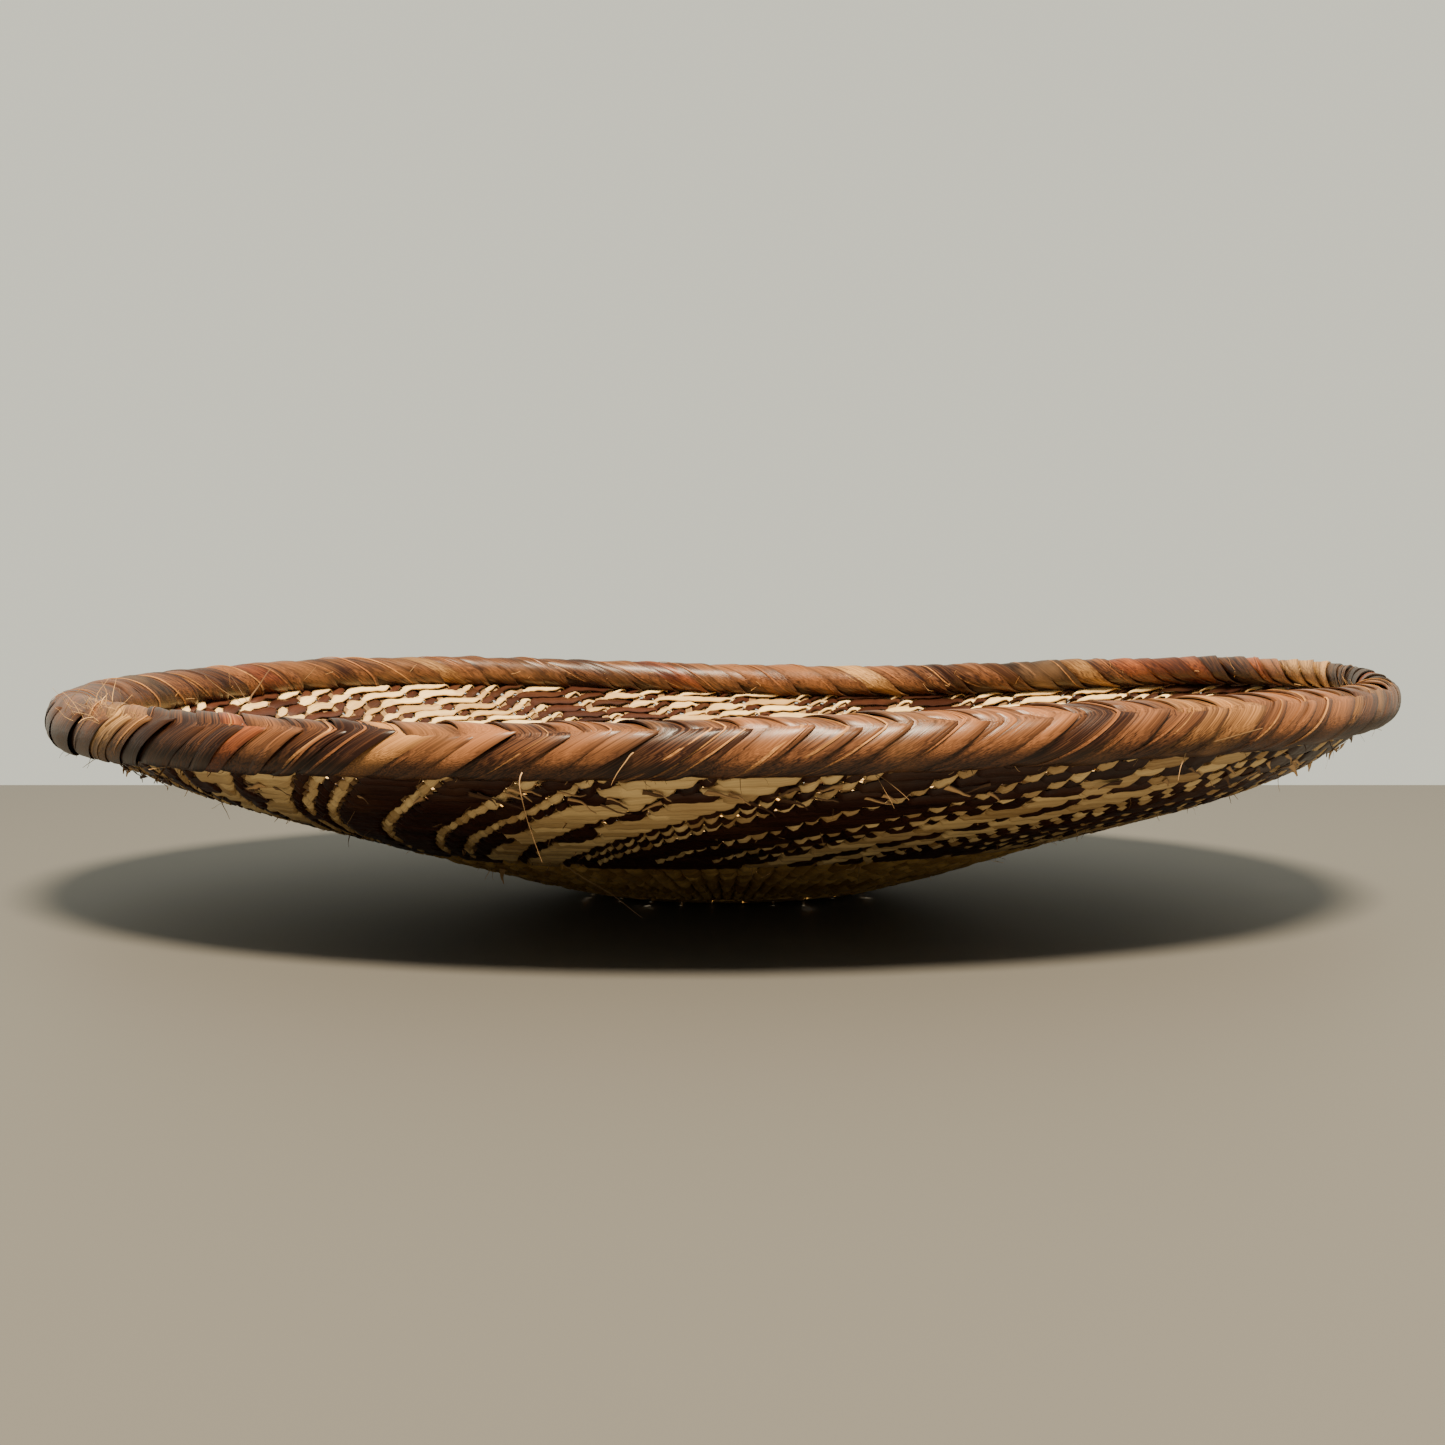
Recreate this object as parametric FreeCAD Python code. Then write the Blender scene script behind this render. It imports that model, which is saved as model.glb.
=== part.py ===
"""Shallow round winnowing basket with a flat plaited foot and a thick bound rim.

Palm-leaf strands are woven round a fan of stiff ribs, one course above the other.
The outer and the inner strand of a course clasp the ribs between them.
The rim is a bent hoop packed with leaf bundles and bound with slanting leaf strips.

Sizes are in millimetres.  The origin is the middle of the foot, on the ground, and +Z is up.
"""
import FreeCAD, Part
import math
import os

os.makedirs("parts", exist_ok=True)

# Overall sizes
RIM_DIAMETER = 400.0         # over the outside of the bound rim
BASKET_HEIGHT = 64.0         # from the ground to the top of the rim
FOOT_DIAMETER = 94.0         # where the outer face of the wall would meet the ground
RIM_THICKNESS = 14.4         # the bound rim roll, from side to side

# Plaited foot
BASE_STRIP_COUNT = 11        # strips in each of the two directions, an odd number
BASE_STRIP_THICKNESS = 1.0
BASE_STRIP_GAP = 0.5         # between the sides of two neighbouring strips
BASE_EDGE_WIDTH = 2.5        # how far the strips reach out past the foot circle
LOCK_OVERLAP = 5.0           # how far the first inner strand lies over the strip ends

# Wall
STRAND_THICKNESS = 0.9       # one flat leaf strand of the weft
RIB_THICKNESS = 1.2
LAYER_GAP = 0.05             # clearance between leaf and rib, face to face
NATURAL_COURSES = 14         # plain courses of undyed leaf, counted up from the foot
PATTERN_COURSES = 22         # two-colour courses above them
COURSE_GAP = 0.15            # between the edges of two neighbouring courses
LONG_RIBS = 120              # ribs that start at the foot; as many again are added higher up
RIBS_ADDED_AT_COURSE = 13    # the added ribs start at the lower edge of this course
RIB_GAP = 0.55               # side to side, where the ribs stand closest
RIB_END_ROOM = 0.1           # between a rib's inner end and the strips of the foot

# Rim
BINDING_THICKNESS = 0.9      # the leaf strips wound round the rim
BINDING_STRIPS = 108
BINDING_GAP = 0.3            # side to side between two wound strips
OUTER_LEG_SLANT = 27.0       # how far a strip leans along the rim from its crest to underneath
INNER_LEG_SLANT = 25.0       # how far it leans from its crest over the top and down inside
CREST_ANGLE = 40.0           # height of the crest on the roll, in degrees above outward
HOOP_THICKNESS = 4.4         # the bent rod in the middle of the roll
BUNDLE_COUNT = 24            # leaf bundles, laid end to end round the hoop
BUNDLE_GAP = 0.3             # between the ends of two bundles
RIM_FIT = 0.15               # clearance between bundle, binding, ribs and hoop
TOP_COURSE_ROOM = 1.0        # between the top course and the outer end of the binding
RIB_TAIL = 4.6               # how far the ribs run on past the top course, into the roll
OUTER_LEG_STEPS = 6          # flat facets along each leg
INNER_LEG_STEPS = 9

# Places worked out from the sizes above
ROLL_RADIUS = RIM_THICKNESS / 2.0
ROLL_CENTRE_R = RIM_DIAMETER / 2.0 - ROLL_RADIUS
ROLL_CENTRE_Z = BASKET_HEIGHT - ROLL_RADIUS
FOOT_RADIUS = FOOT_DIAMETER / 2.0
BASE_RADIUS = FOOT_RADIUS + BASE_EDGE_WIDTH
UPPER_STRIP_Z = BASE_STRIP_THICKNESS + LAYER_GAP
BASE_TOP_Z = UPPER_STRIP_Z + BASE_STRIP_THICKNESS
SLOPE = math.atan2(ROLL_CENTRE_Z - ROLL_RADIUS, ROLL_CENTRE_R - FOOT_RADIUS)

# Depth of each layer, measured inwards at right angles to the wall's outer face
OUTER_STRAND_IN = STRAND_THICKNESS
RIB_OUT = OUTER_STRAND_IN + LAYER_GAP
RIB_IN = RIB_OUT + RIB_THICKNESS
INNER_STRAND_OUT = RIB_IN + LAYER_GAP
INNER_STRAND_IN = INNER_STRAND_OUT + STRAND_THICKNESS

# Distances up the slope from the foot circle
WALL_END = (ROLL_CENTRE_R - FOOT_RADIUS) / math.cos(SLOPE)
WEAVE_END = WALL_END - TOP_COURSE_ROOM
WEAVE_START = (BASE_EDGE_WIDTH + RIB_END_ROOM + RIB_OUT * math.sin(SLOPE)) / math.cos(SLOPE)
COURSES = NATURAL_COURSES + PATTERN_COURSES
COURSE_PITCH = (WEAVE_END - WEAVE_START) / COURSES
RIB_START = WEAVE_START
RIB_END = WEAVE_END + RIB_TAIL
ADDED_RIB_START = WEAVE_START + (RIBS_ADDED_AT_COURSE - 1) * COURSE_PITCH

Z_AXIS = FreeCAD.Vector(0, 0, 1)
ORIGIN = FreeCAD.Vector(0, 0, 0)


def save(name, solids):
    """Write one piece, or a group of like pieces, under its own name."""
    shape = solids[0] if len(solids) == 1 else Part.makeCompound(solids)
    shape.exportStep("parts/" + name + ".step")


def on_wall(up_slope, depth):
    """Radius and height of a point of the wall section."""
    radius = FOOT_RADIUS + up_slope * math.cos(SLOPE) - depth * math.sin(SLOPE)
    height = up_slope * math.sin(SLOPE) + depth * math.cos(SLOPE)
    return radius, height


def section_point(radius, height):
    return FreeCAD.Vector(radius, 0, height)


def turned(solid, degrees):
    copy = solid.copy()
    copy.rotate(ORIGIN, Z_AXIS, degrees)
    return copy


def ring(section):
    """Closed ring turned from a list of (radius, height) corners."""
    corners = [section_point(radius, height) for radius, height in section]
    outline = Part.makePolygon(corners + corners[:1])
    return Part.Face(outline).revolve(ORIGIN, Z_AXIS, 360)


def wall_band(low, high, out_depth, in_depth):
    """Conical band of the wall between two distances up the slope."""
    return ring([on_wall(low, out_depth), on_wall(high, out_depth),
                 on_wall(high, in_depth), on_wall(low, in_depth)])


def base_strips(bottom_z, degrees):
    """One direction of the plaited foot: flat strips trimmed to a round edge."""
    pitch = 2.0 * BASE_RADIUS / BASE_STRIP_COUNT
    width = pitch - BASE_STRIP_GAP
    disc = Part.makeCylinder(BASE_RADIUS, BASE_STRIP_THICKNESS, FreeCAD.Vector(0, 0, bottom_z))
    strips = []
    for number in range(BASE_STRIP_COUNT):
        side = -BASE_RADIUS + number * pitch + BASE_STRIP_GAP / 2.0
        corner = FreeCAD.Vector(-BASE_RADIUS, side, bottom_z)
        blank = Part.makeBox(2.0 * BASE_RADIUS, width, BASE_STRIP_THICKNESS, corner)
        strips.append(turned(blank.common(disc).Solids[0], degrees))
    return strips


def rib_room():
    """Width between rib middles, at the foot and where the added ribs join: the smaller."""
    foot_radius, _ = on_wall(RIB_START, RIB_IN)
    added_radius, _ = on_wall(ADDED_RIB_START, RIB_IN)
    foot_room = 2.0 * math.pi * foot_radius / LONG_RIBS
    added_room = 2.0 * math.pi * added_radius / (2 * LONG_RIBS)
    return min(foot_room, added_room)


def rib(start):
    """One straight rib lying in the wall, along +X, from a distance up the slope to the roll."""
    width = rib_room() - RIB_GAP
    corners = [on_wall(start, RIB_OUT), on_wall(RIB_END, RIB_OUT),
               on_wall(RIB_END, RIB_IN), on_wall(start, RIB_IN)]
    side = [FreeCAD.Vector(radius, -width / 2.0, height) for radius, height in corners]
    return Part.Face(Part.makePolygon(side + side[:1])).extrude(FreeCAD.Vector(0, width, 0))


def rib_fan(start, first_degrees, count, step_degrees):
    one = rib(start)
    return [turned(one, first_degrees + number * step_degrees) for number in range(count)]


def course_edges(number):
    """Lower and upper edge of a course, up the slope; the foot's own course is number 1."""
    low = WEAVE_START + (number - 1) * COURSE_PITCH
    return low + COURSE_GAP / 2.0, low + COURSE_PITCH - COURSE_GAP / 2.0


def lock_strand():
    """Inner strand of the first course: it lies over the strip ends and the rib ends."""
    _, high = course_edges(1)
    seat_z = BASE_TOP_Z + LAYER_GAP
    rib_corner_r, rib_corner_z = on_wall(RIB_START, RIB_IN)
    step_r = rib_corner_r - RIB_END_ROOM
    step_z = rib_corner_z + LAYER_GAP
    return ring([(BASE_RADIUS - LOCK_OVERLAP, seat_z),
                 (step_r, seat_z),
                 (step_r, step_z),
                 on_wall(high, INNER_STRAND_OUT),
                 on_wall(high, INNER_STRAND_IN),
                 (step_r, step_z + STRAND_THICKNESS),
                 (BASE_RADIUS - LOCK_OVERLAP, seat_z + STRAND_THICKNESS)])


def course(number):
    """The two strands of one course, outside and inside the ribs."""
    low, high = course_edges(number)
    outer = wall_band(low, high, 0.0, OUTER_STRAND_IN)
    inner = wall_band(low, high, INNER_STRAND_OUT, INNER_STRAND_IN)
    return [outer, inner]


def roll_point(angle, distance):
    """Radius and height of a point round the middle of the roll; 0 degrees is outward."""
    turn = math.radians(angle)
    radius = ROLL_CENTRE_R + distance * math.cos(turn)
    height = ROLL_CENTRE_Z + distance * math.sin(turn)
    return radius, height


# The binding runs from under the roll, up the outside, over the top and down to the wall
WALL_DISTANCE = ROLL_RADIUS * math.cos(SLOPE)
BINDING_INNER = ROLL_RADIUS - BINDING_THICKNESS
UNDER_ANGLE = -90.0
SEAT_COSINE = (WALL_DISTANCE - INNER_STRAND_IN - RIM_FIT) / ROLL_RADIUS
SEAT_ANGLE = 270.0 + math.degrees(SLOPE) - math.degrees(math.acos(SEAT_COSINE))
FACET_ANGLE = max((CREST_ANGLE - UNDER_ANGLE) / OUTER_LEG_STEPS,
                  (SEAT_ANGLE - CREST_ANGLE) / INNER_LEG_STEPS)
FACET_RADIUS = BINDING_INNER * math.cos(math.radians(FACET_ANGLE / 2.0))

# The leaf bundle fills the room between the ribs' tails and the flats of the binding
BUNDLE_RADIUS = (WALL_DISTANCE - RIB_IN + FACET_RADIUS) / 2.0 - RIM_FIT
BUNDLE_LIFT = FACET_RADIUS - RIM_FIT - BUNDLE_RADIUS
BUNDLE_CENTRE_R = ROLL_CENTRE_R - BUNDLE_LIFT * math.sin(SLOPE)
BUNDLE_CENTRE_Z = ROLL_CENTRE_Z + BUNDLE_LIFT * math.cos(SLOPE)
HOOP_RADIUS = HOOP_THICKNESS / 2.0


def rim_hoop():
    centre = FreeCAD.Vector(0, 0, BUNDLE_CENTRE_Z)
    return Part.makeTorus(BUNDLE_CENTRE_R, HOOP_RADIUS, centre, Z_AXIS)


def bundle_half(first_angle, degrees):
    """Half of one leaf bundle: a half-round channel that lies along the hoop."""
    turn = math.radians(first_angle)
    out = FreeCAD.Vector(math.cos(turn), 0, math.sin(turn))
    across = FreeCAD.Vector(-math.sin(turn), 0, math.cos(turn))
    centre = section_point(BUNDLE_CENTRE_R, BUNDLE_CENTRE_Z)
    bore = HOOP_RADIUS + RIM_FIT
    lift = across * (RIM_FIT / 2.0)
    big = Part.Arc(centre + out * BUNDLE_RADIUS + lift,
                   centre + across * BUNDLE_RADIUS,
                   centre - out * BUNDLE_RADIUS + lift).toShape()
    small = Part.Arc(centre - out * bore + lift,
                     centre + across * bore,
                     centre + out * bore + lift).toShape()
    left = Part.makeLine(centre - out * BUNDLE_RADIUS + lift, centre - out * bore + lift)
    right = Part.makeLine(centre + out * bore + lift, centre + out * BUNDLE_RADIUS + lift)
    face = Part.Face(Part.Wire([big, left, small, right]))
    return face.revolve(ORIGIN, Z_AXIS, degrees)


def bundles(first_angle):
    """One half of every bundle round the rim."""
    gap_degrees = math.degrees(BUNDLE_GAP / BUNDLE_CENTRE_R)
    step = 360.0 / BUNDLE_COUNT
    one = bundle_half(first_angle, step - gap_degrees)
    return [turned(one, number * step) for number in range(BUNDLE_COUNT)]


def binding_station(angle, lean, half_width):
    """Cross-cut of a wound strip at one place round the roll, leaning back along the rim."""
    corners = []
    for distance, side in ((ROLL_RADIUS, -1), (ROLL_RADIUS, 1),
                           (BINDING_INNER, 1), (BINDING_INNER, -1)):
        radius, height = roll_point(angle, distance)
        turn = (side * half_width - lean) / ROLL_CENTRE_R
        corners.append(FreeCAD.Vector(radius * math.cos(turn), radius * math.sin(turn), height))
    return Part.makePolygon(corners + corners[:1])


def binding_strip():
    """One leaf strip round the roll: two slanting legs that meet at the crest."""
    half_width = math.pi * ROLL_CENTRE_R / BINDING_STRIPS - BINDING_GAP / 2.0
    stations = []
    for step in range(OUTER_LEG_STEPS):
        part = step / OUTER_LEG_STEPS
        angle = UNDER_ANGLE + part * (CREST_ANGLE - UNDER_ANGLE)
        stations.append(binding_station(angle, (1.0 - part) * OUTER_LEG_SLANT, half_width))
    for step in range(INNER_LEG_STEPS + 1):
        part = step / INNER_LEG_STEPS
        angle = CREST_ANGLE + part * (SEAT_ANGLE - CREST_ANGLE)
        stations.append(binding_station(angle, part * INNER_LEG_SLANT, half_width))
    return Part.makeLoft(stations, True, True)


# Foot
save("base_strips_lengthwise", base_strips(0.0, 0))
save("base_strips_crosswise", base_strips(UPPER_STRIP_Z, 90))
first_low, first_high = course_edges(1)
save("base_lock_course", [wall_band(first_low, first_high, 0.0, OUTER_STRAND_IN), lock_strand()])

# Courses of the wall
for number in range(2, COURSES + 1):
    kind = "natural_course_" if number <= NATURAL_COURSES else "pattern_course_"
    save(kind + "%02d" % number, course(number))

# Ribs, in four quarters
RIB_STEP = 360.0 / LONG_RIBS
QUARTER_RIBS = LONG_RIBS // 4
for quarter, side in enumerate(("right", "back", "left", "front")):
    start_degrees = quarter * 90.0 - 45.0
    long_first = start_degrees + RIB_STEP / 4.0
    added_first = long_first + RIB_STEP / 2.0
    save("long_ribs_" + side, rib_fan(RIB_START, long_first, QUARTER_RIBS, RIB_STEP))
    save("added_ribs_" + side, rib_fan(ADDED_RIB_START, added_first, QUARTER_RIBS, RIB_STEP))

# Rim
save("rim_hoop", [rim_hoop()])
save("rim_bundles_upper", bundles(math.degrees(SLOPE)))
save("rim_bundles_lower", bundles(math.degrees(SLOPE) + 180.0))
strips = {"chestnut": [], "russet": [], "tan": []}
SHADES = ("chestnut", "chestnut", "russet", "chestnut", "chestnut", "tan",
          "chestnut", "russet", "chestnut", "tan", "chestnut", "chestnut")
one_strip = binding_strip()
for number in range(BINDING_STRIPS):
    shade = SHADES[number % len(SHADES)]
    strips[shade].append(turned(one_strip, number * 360.0 / BINDING_STRIPS))
for shade, group in strips.items():
    save("rim_binding_" + shade, group)

print("slope %.2f degrees, course pitch %.2f mm, rib width %.2f mm"
      % (math.degrees(SLOPE), COURSE_PITCH, rib_room() - RIB_GAP))
print("leaf bundle %.2f mm thick, binding seat at %.1f degrees"
      % (2.0 * BUNDLE_RADIUS, SEAT_ANGLE))
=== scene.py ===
# %% [markdown]
# # A winnowing basket, woven strand by strand
# A winnowing basket is a shallow round tray for tossing grain, so that the wind takes the
# husks.  This one is woven from palm leaf over a fan of stiff ribs, and its edge is a thick
# roll bound with slanting leaf strips.  The weave could be painted on a smooth bowl, but
# paint shows no shadow between the strands and no light through the gaps.  So every strand
# is its own band of mesh, laid over and under the ribs as a weaver lays it.

# %% Load the frame
import math
import random

import bmesh
import bpy
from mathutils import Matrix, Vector, noise


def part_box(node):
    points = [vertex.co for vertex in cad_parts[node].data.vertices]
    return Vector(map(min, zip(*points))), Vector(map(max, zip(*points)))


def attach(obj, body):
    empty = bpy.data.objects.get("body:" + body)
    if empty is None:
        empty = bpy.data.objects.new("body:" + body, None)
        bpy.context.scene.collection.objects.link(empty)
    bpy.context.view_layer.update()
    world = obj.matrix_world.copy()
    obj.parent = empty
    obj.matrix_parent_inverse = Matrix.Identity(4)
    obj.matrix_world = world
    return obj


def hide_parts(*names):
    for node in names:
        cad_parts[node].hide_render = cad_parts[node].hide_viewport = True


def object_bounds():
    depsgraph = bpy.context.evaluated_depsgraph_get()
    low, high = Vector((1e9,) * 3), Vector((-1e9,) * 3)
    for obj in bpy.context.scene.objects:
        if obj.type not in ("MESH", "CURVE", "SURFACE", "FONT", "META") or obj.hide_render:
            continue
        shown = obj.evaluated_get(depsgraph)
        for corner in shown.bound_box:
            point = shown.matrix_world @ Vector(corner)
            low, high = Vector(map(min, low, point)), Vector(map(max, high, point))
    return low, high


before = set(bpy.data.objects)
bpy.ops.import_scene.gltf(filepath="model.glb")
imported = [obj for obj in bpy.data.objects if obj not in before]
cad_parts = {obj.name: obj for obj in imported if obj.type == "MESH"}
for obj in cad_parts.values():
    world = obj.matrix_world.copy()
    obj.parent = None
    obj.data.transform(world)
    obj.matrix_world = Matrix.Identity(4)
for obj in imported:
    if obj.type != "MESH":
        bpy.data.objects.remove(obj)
cad_low, cad_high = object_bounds()
print("frame nodes:", len(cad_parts))

# %% [markdown]
# ## Sizes
# The frame already says how big the basket is.  The sizes could be typed in again, but a
# number that is kept in two places soon differs, so the main ones are read from its pieces.
# The weave then only needs what the frame doesn't hold: how wide a leaf strand is, how far
# it bulges, and how uneven a hand-made thing is.

# %% Sizes read from the frame
MM = 0.001
TURN = 2.0 * math.pi
RIM_RADIUS = cad_high[0]
RIM_TOP = cad_high[2]
roll_low, roll_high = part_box("rim_binding_chestnut")
ROLL_RADIUS = (roll_high[2] - roll_low[2]) / 2.0
ROLL_R = RIM_RADIUS - ROLL_RADIUS     # from the basket's axis to the middle of the roll
ROLL_Z = RIM_TOP - ROLL_RADIUS        # from the table to the middle of the roll
FOOT_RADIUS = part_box("base_strips_lengthwise")[1][0]

course_nodes = sorted((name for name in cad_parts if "course" in name),
                      key=lambda name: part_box(name)[1][0])
COURSES = len(course_nodes)
course_radii = [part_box(name)[1][0] for name in course_nodes]
COURSE_STEP = (course_radii[-1] - course_radii[0]) / (COURSES - 1)
print("roll radius %.2f mm, %d courses, %.2f mm apart"
      % (ROLL_RADIUS / MM, COURSES, COURSE_STEP / MM))

# %% [markdown]
# ## The shape that everything lies on
# A basket like this is flat where the weaver starts it and then opens into a cone that
# flares a little towards the rim.  Nothing woven by hand is true, so the wall sags into a
# shallow belly and the rim rises and dips in a few long waves.  A bowl could be turned as one
# smooth mesh and bent by hand, but then each strand would have to be fitted to it.  One
# function of radius and angle lets ribs, strands and rim ask the same question and agree.

# %% How the wall rises, sags and waves
FLAT_RADIUS = 35.6 * MM       # the foot is flat out to here
RISE = 0.280                  # slope of the cone
EASE = 12.3 * MM              # how slowly the foot turns into the cone
FLARE = 0.34                  # extra slope towards the rim, per metre
TUCK = 2.2 * MM               # the top of the wall turns up into the roll by this much
TUCK_FROM = 172.0 * MM        # and starts to do so here
RIB_MIDDLE = 1.64 * MM        # height of the ribs' middle above the outer face
BELLY = 2.4 * MM              # how far the wall sags, on average
BELLY_FROM = 95.0 * MM        # it sags from here
BELLY_PAST_ROLL = 3.0 * MM    # to this far outside the middle of the roll
BELLY_SHIFT = 1.5             # over 1 puts the lowest place nearer the rim
RIM_LIFT = 1.2 * MM
WAVE_FADE = 1.14              # how fast the rim's waves die out towards the foot
SLOPE_REACH = 2.0 * MM        # the slope is measured this far to either side

# Waves round the basket: how many, how high, and where the first crest is in degrees
RIM_WAVES = ((1, 3.20 * MM, 30.3), (2, 1.87 * MM, -38.7), (3, 1.54 * MM, 51.9),
             (4, 1.0 * MM, 124.5))
RIM_OVAL = ((1, 0.99 * MM, 162.3), (2, 0.68 * MM, -26.9))
ROLL_FAT = ((1, 0.95 * MM, 213.4), (3, 0.65 * MM, 208.5))
BELLY_WAVES = ((1, 1.2 * MM, 0.0), (2, 0.8 * MM, 0.0))


def waves(terms, theta):
    """The sum of some long waves at one angle round the basket."""
    return sum(size * math.cos(count * theta - math.radians(lag))
               for count, size, lag in terms)


print("the rim's waves can add up to %.1f mm" % (sum(wave[1] for wave in RIM_WAVES) / MM))


# %% [markdown]
# With these numbers the wall is one formula.  The height could be read from a drawn profile,
# but a profile is the same all the way round, and this wall isn't.  The second function
# gives the wall's slope, and the third finds a place up the slope or off the wall, which is
# what a strand needs to know.

# %% The bowl as a function
def smooth(x):
    """0 below 0, 1 above 1, and an even S between."""
    x = min(max(x, 0.0), 1.0)
    return x * x * (3.0 - 2.0 * x)


def bowl_height(radius, theta):
    """Height of the middle of the wall."""
    out = max(radius - FLAT_RADIUS, 0.0)
    share = min(out / (ROLL_R - FLAT_RADIUS), 1.0)
    cone = RISE * out * out / (out + EASE) + FLARE * out * out
    tuck = TUCK * smooth((radius - TUCK_FROM) / (ROLL_R - TUCK_FROM))
    rise = (RIM_LIFT + waves(RIM_WAVES, theta)) * share ** WAVE_FADE
    part = (radius - BELLY_FROM) / (ROLL_R + BELLY_PAST_ROLL - BELLY_FROM)
    part = min(max(part, 0.0), 1.0)
    sag = (BELLY + waves(BELLY_WAVES, theta)) * math.sin(math.pi * part ** BELLY_SHIFT)
    return RIB_MIDDLE + cone + tuck + rise - sag


def bowl_slope(radius, theta):
    """Cosine and sine of the wall's slope."""
    rise = bowl_height(radius + SLOPE_REACH, theta) - bowl_height(radius - SLOPE_REACH, theta)
    run = math.hypot(rise, 2.0 * SLOPE_REACH)
    return 2.0 * SLOPE_REACH / run, rise / run


def on_bowl(radius, theta, up=0.0, out=0.0):
    """Point near the wall: up the slope, and out from the middle of the ribs."""
    cos_a, sin_a = bowl_slope(radius, theta)
    flat = radius + up * cos_a + out * sin_a
    height = bowl_height(radius, theta) + up * sin_a - out * cos_a
    return Vector((flat * math.cos(theta), flat * math.sin(theta), height))


print("wall height at the rim %.1f mm" % (bowl_height(ROLL_R, 0.0) / MM))

# %% [markdown]
# ## Leaf bands
# A strip of palm leaf is a long thin band.  A curve with a flat bevel could draw one, but it
# has no say in how the leaf bulges and narrows.  A grid is the natural start: one direction
# runs along the leaf and the other across, each grid point is laid where the weaver would
# put it, and `solidify` gives the leaf its thickness.  Four numbers are kept on every point
# for the materials: how far along the leaf it is, how far across, the tone of that piece of
# leaf, and how near the point is to the leaf's edge.

# %% Helper: lay one band
LEAF_THICKNESS = 0.35 * MM
MERGE = 0.01 * MM             # points nearer than this become one
LEAF_LAYERS = ("along", "across", "tone", "edge")


def new_bands():
    """An empty mesh with the layers that the leaf materials read."""
    bands = bmesh.new()
    for layer in LEAF_LAYERS:
        bands.verts.layers.float.new(layer)
    return bands


def add_band(bands, columns, rows, lay, thickness=LEAF_THICKNESS, closed=False):
    """Add one band.  lay(a, b) gives place, along, across and tone, for a from 0 to 1 along
    the leaf and b from -1 to 1 across it.  A closed band meets itself round the basket."""
    along, across, tone, edge = (bands.verts.layers.float[name] for name in LEAF_LAYERS)
    made = bmesh.ops.create_grid(bands, x_segments=columns, y_segments=rows, size=1.0)
    for vert in made["verts"]:
        vert[edge] = abs(vert.co.y) if rows > 1 else 0.0
        place, vert[along], vert[across], vert[tone] = lay((vert.co.x + 1.0) / 2.0, vert.co.y)
        vert.co = place
    faces = list({face for vert in made["verts"] for face in vert.link_faces})
    if closed:
        ends = [vert for vert in made["verts"] if vert.is_boundary]
        bmesh.ops.remove_doubles(bands, verts=ends, dist=MERGE)
        faces = [face for face in faces if face.is_valid]
    bmesh.ops.solidify(bands, geom=faces, thickness=thickness)


print("a leaf is %.2f mm thick and keeps" % (LEAF_THICKNESS / MM), ", ".join(LEAF_LAYERS))

# %% [markdown]
# A finished piece is one object for one course, one group of ribs or one shade of binding,
# because the frame names its nodes that way.  The leaf is smooth to the eye but its sides are
# sharp, so faces are shaded smooth and the edges that turn hard are marked as sharp.  An
# Edge Split modifier would do the same, at the price of a mesh that is no longer closed.

# %% Helper: a finished piece from bands
SHARP_ANGLE = math.radians(55.0)


def finish_piece(bands, name, material, slot, *nodes):
    """Turn the bands into an object that stands for some of the frame's nodes."""
    bmesh.ops.recalc_face_normals(bands, faces=bands.faces[:])
    for face in bands.faces:
        face.smooth = True
    for edge in bands.edges:
        edge.smooth = edge.calc_face_angle(0.0) < SHARP_ANGLE
    mesh = bpy.data.meshes.new(name)
    bands.to_mesh(mesh)
    bands.free()
    piece = bpy.data.objects.new(name, mesh)
    bpy.context.collection.objects.link(piece)
    mesh.materials.append(material)
    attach(piece, "root")
    if nodes:
        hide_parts(*nodes)


print("edges that turn more than %.0f degrees stay sharp" % math.degrees(SHARP_ANGLE))

# %% [markdown]
# ## Leaf grain
# Dry leaf is never one colour.  Fine streaks run along it, one piece is paler than the next,
# and some pieces carry brown blotches.  The two edges are painted darker, a painted shade of
# the seams between leaves.  An image could show all that, but it would have to be wrapped
# round hundreds of strands.  A node group makes it from the numbers kept on each point, so
# that the grain bends with the leaf, and every leaf finish uses the same group with values of
# its own.

# %% Node group: its sockets
GRAIN_FLOATS = (("Along", 0.0), ("Across", 0.0), ("Tone", 0.5), ("Edge", 0.0),
                ("Streak Width", 0.3), ("Streaks", 1.0), ("Dullness", 0.3),
                ("Edge Shade", 0.5), ("Stain Amount", 0.3))
GRAIN_COLORS = (("Dark", (0, 0, 0, 1)), ("Light", (1, 1, 1, 1)), ("Stain", (0, 0, 0, 1)))

leaf_grain = bpy.data.node_groups.new("leaf_grain", "ShaderNodeTree")
for kind, inputs in (("NodeSocketFloat", GRAIN_FLOATS), ("NodeSocketColor", GRAIN_COLORS)):
    for name, value in inputs:
        socket = leaf_grain.interface.new_socket(name, in_out="INPUT", socket_type=kind)
        socket.default_value = value
for name, kind in (("Color", "NodeSocketColor"), ("Roughness", "NodeSocketFloat"),
                   ("Height", "NodeSocketFloat")):
    leaf_grain.interface.new_socket(name, in_out="OUTPUT", socket_type=kind)

grain_nodes, grain_links = leaf_grain.nodes, leaf_grain.links
given = grain_nodes.new("NodeGroupInput").outputs
result = grain_nodes.new("NodeGroupOutput").inputs
print("leaf grain takes", len(GRAIN_FLOATS) + len(GRAIN_COLORS), "values")


# %% [markdown]
# The group needs sums and mixes of colour in several places.  Each could be spelled out, but
# two small helpers keep the steps of the grain readable.

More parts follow.
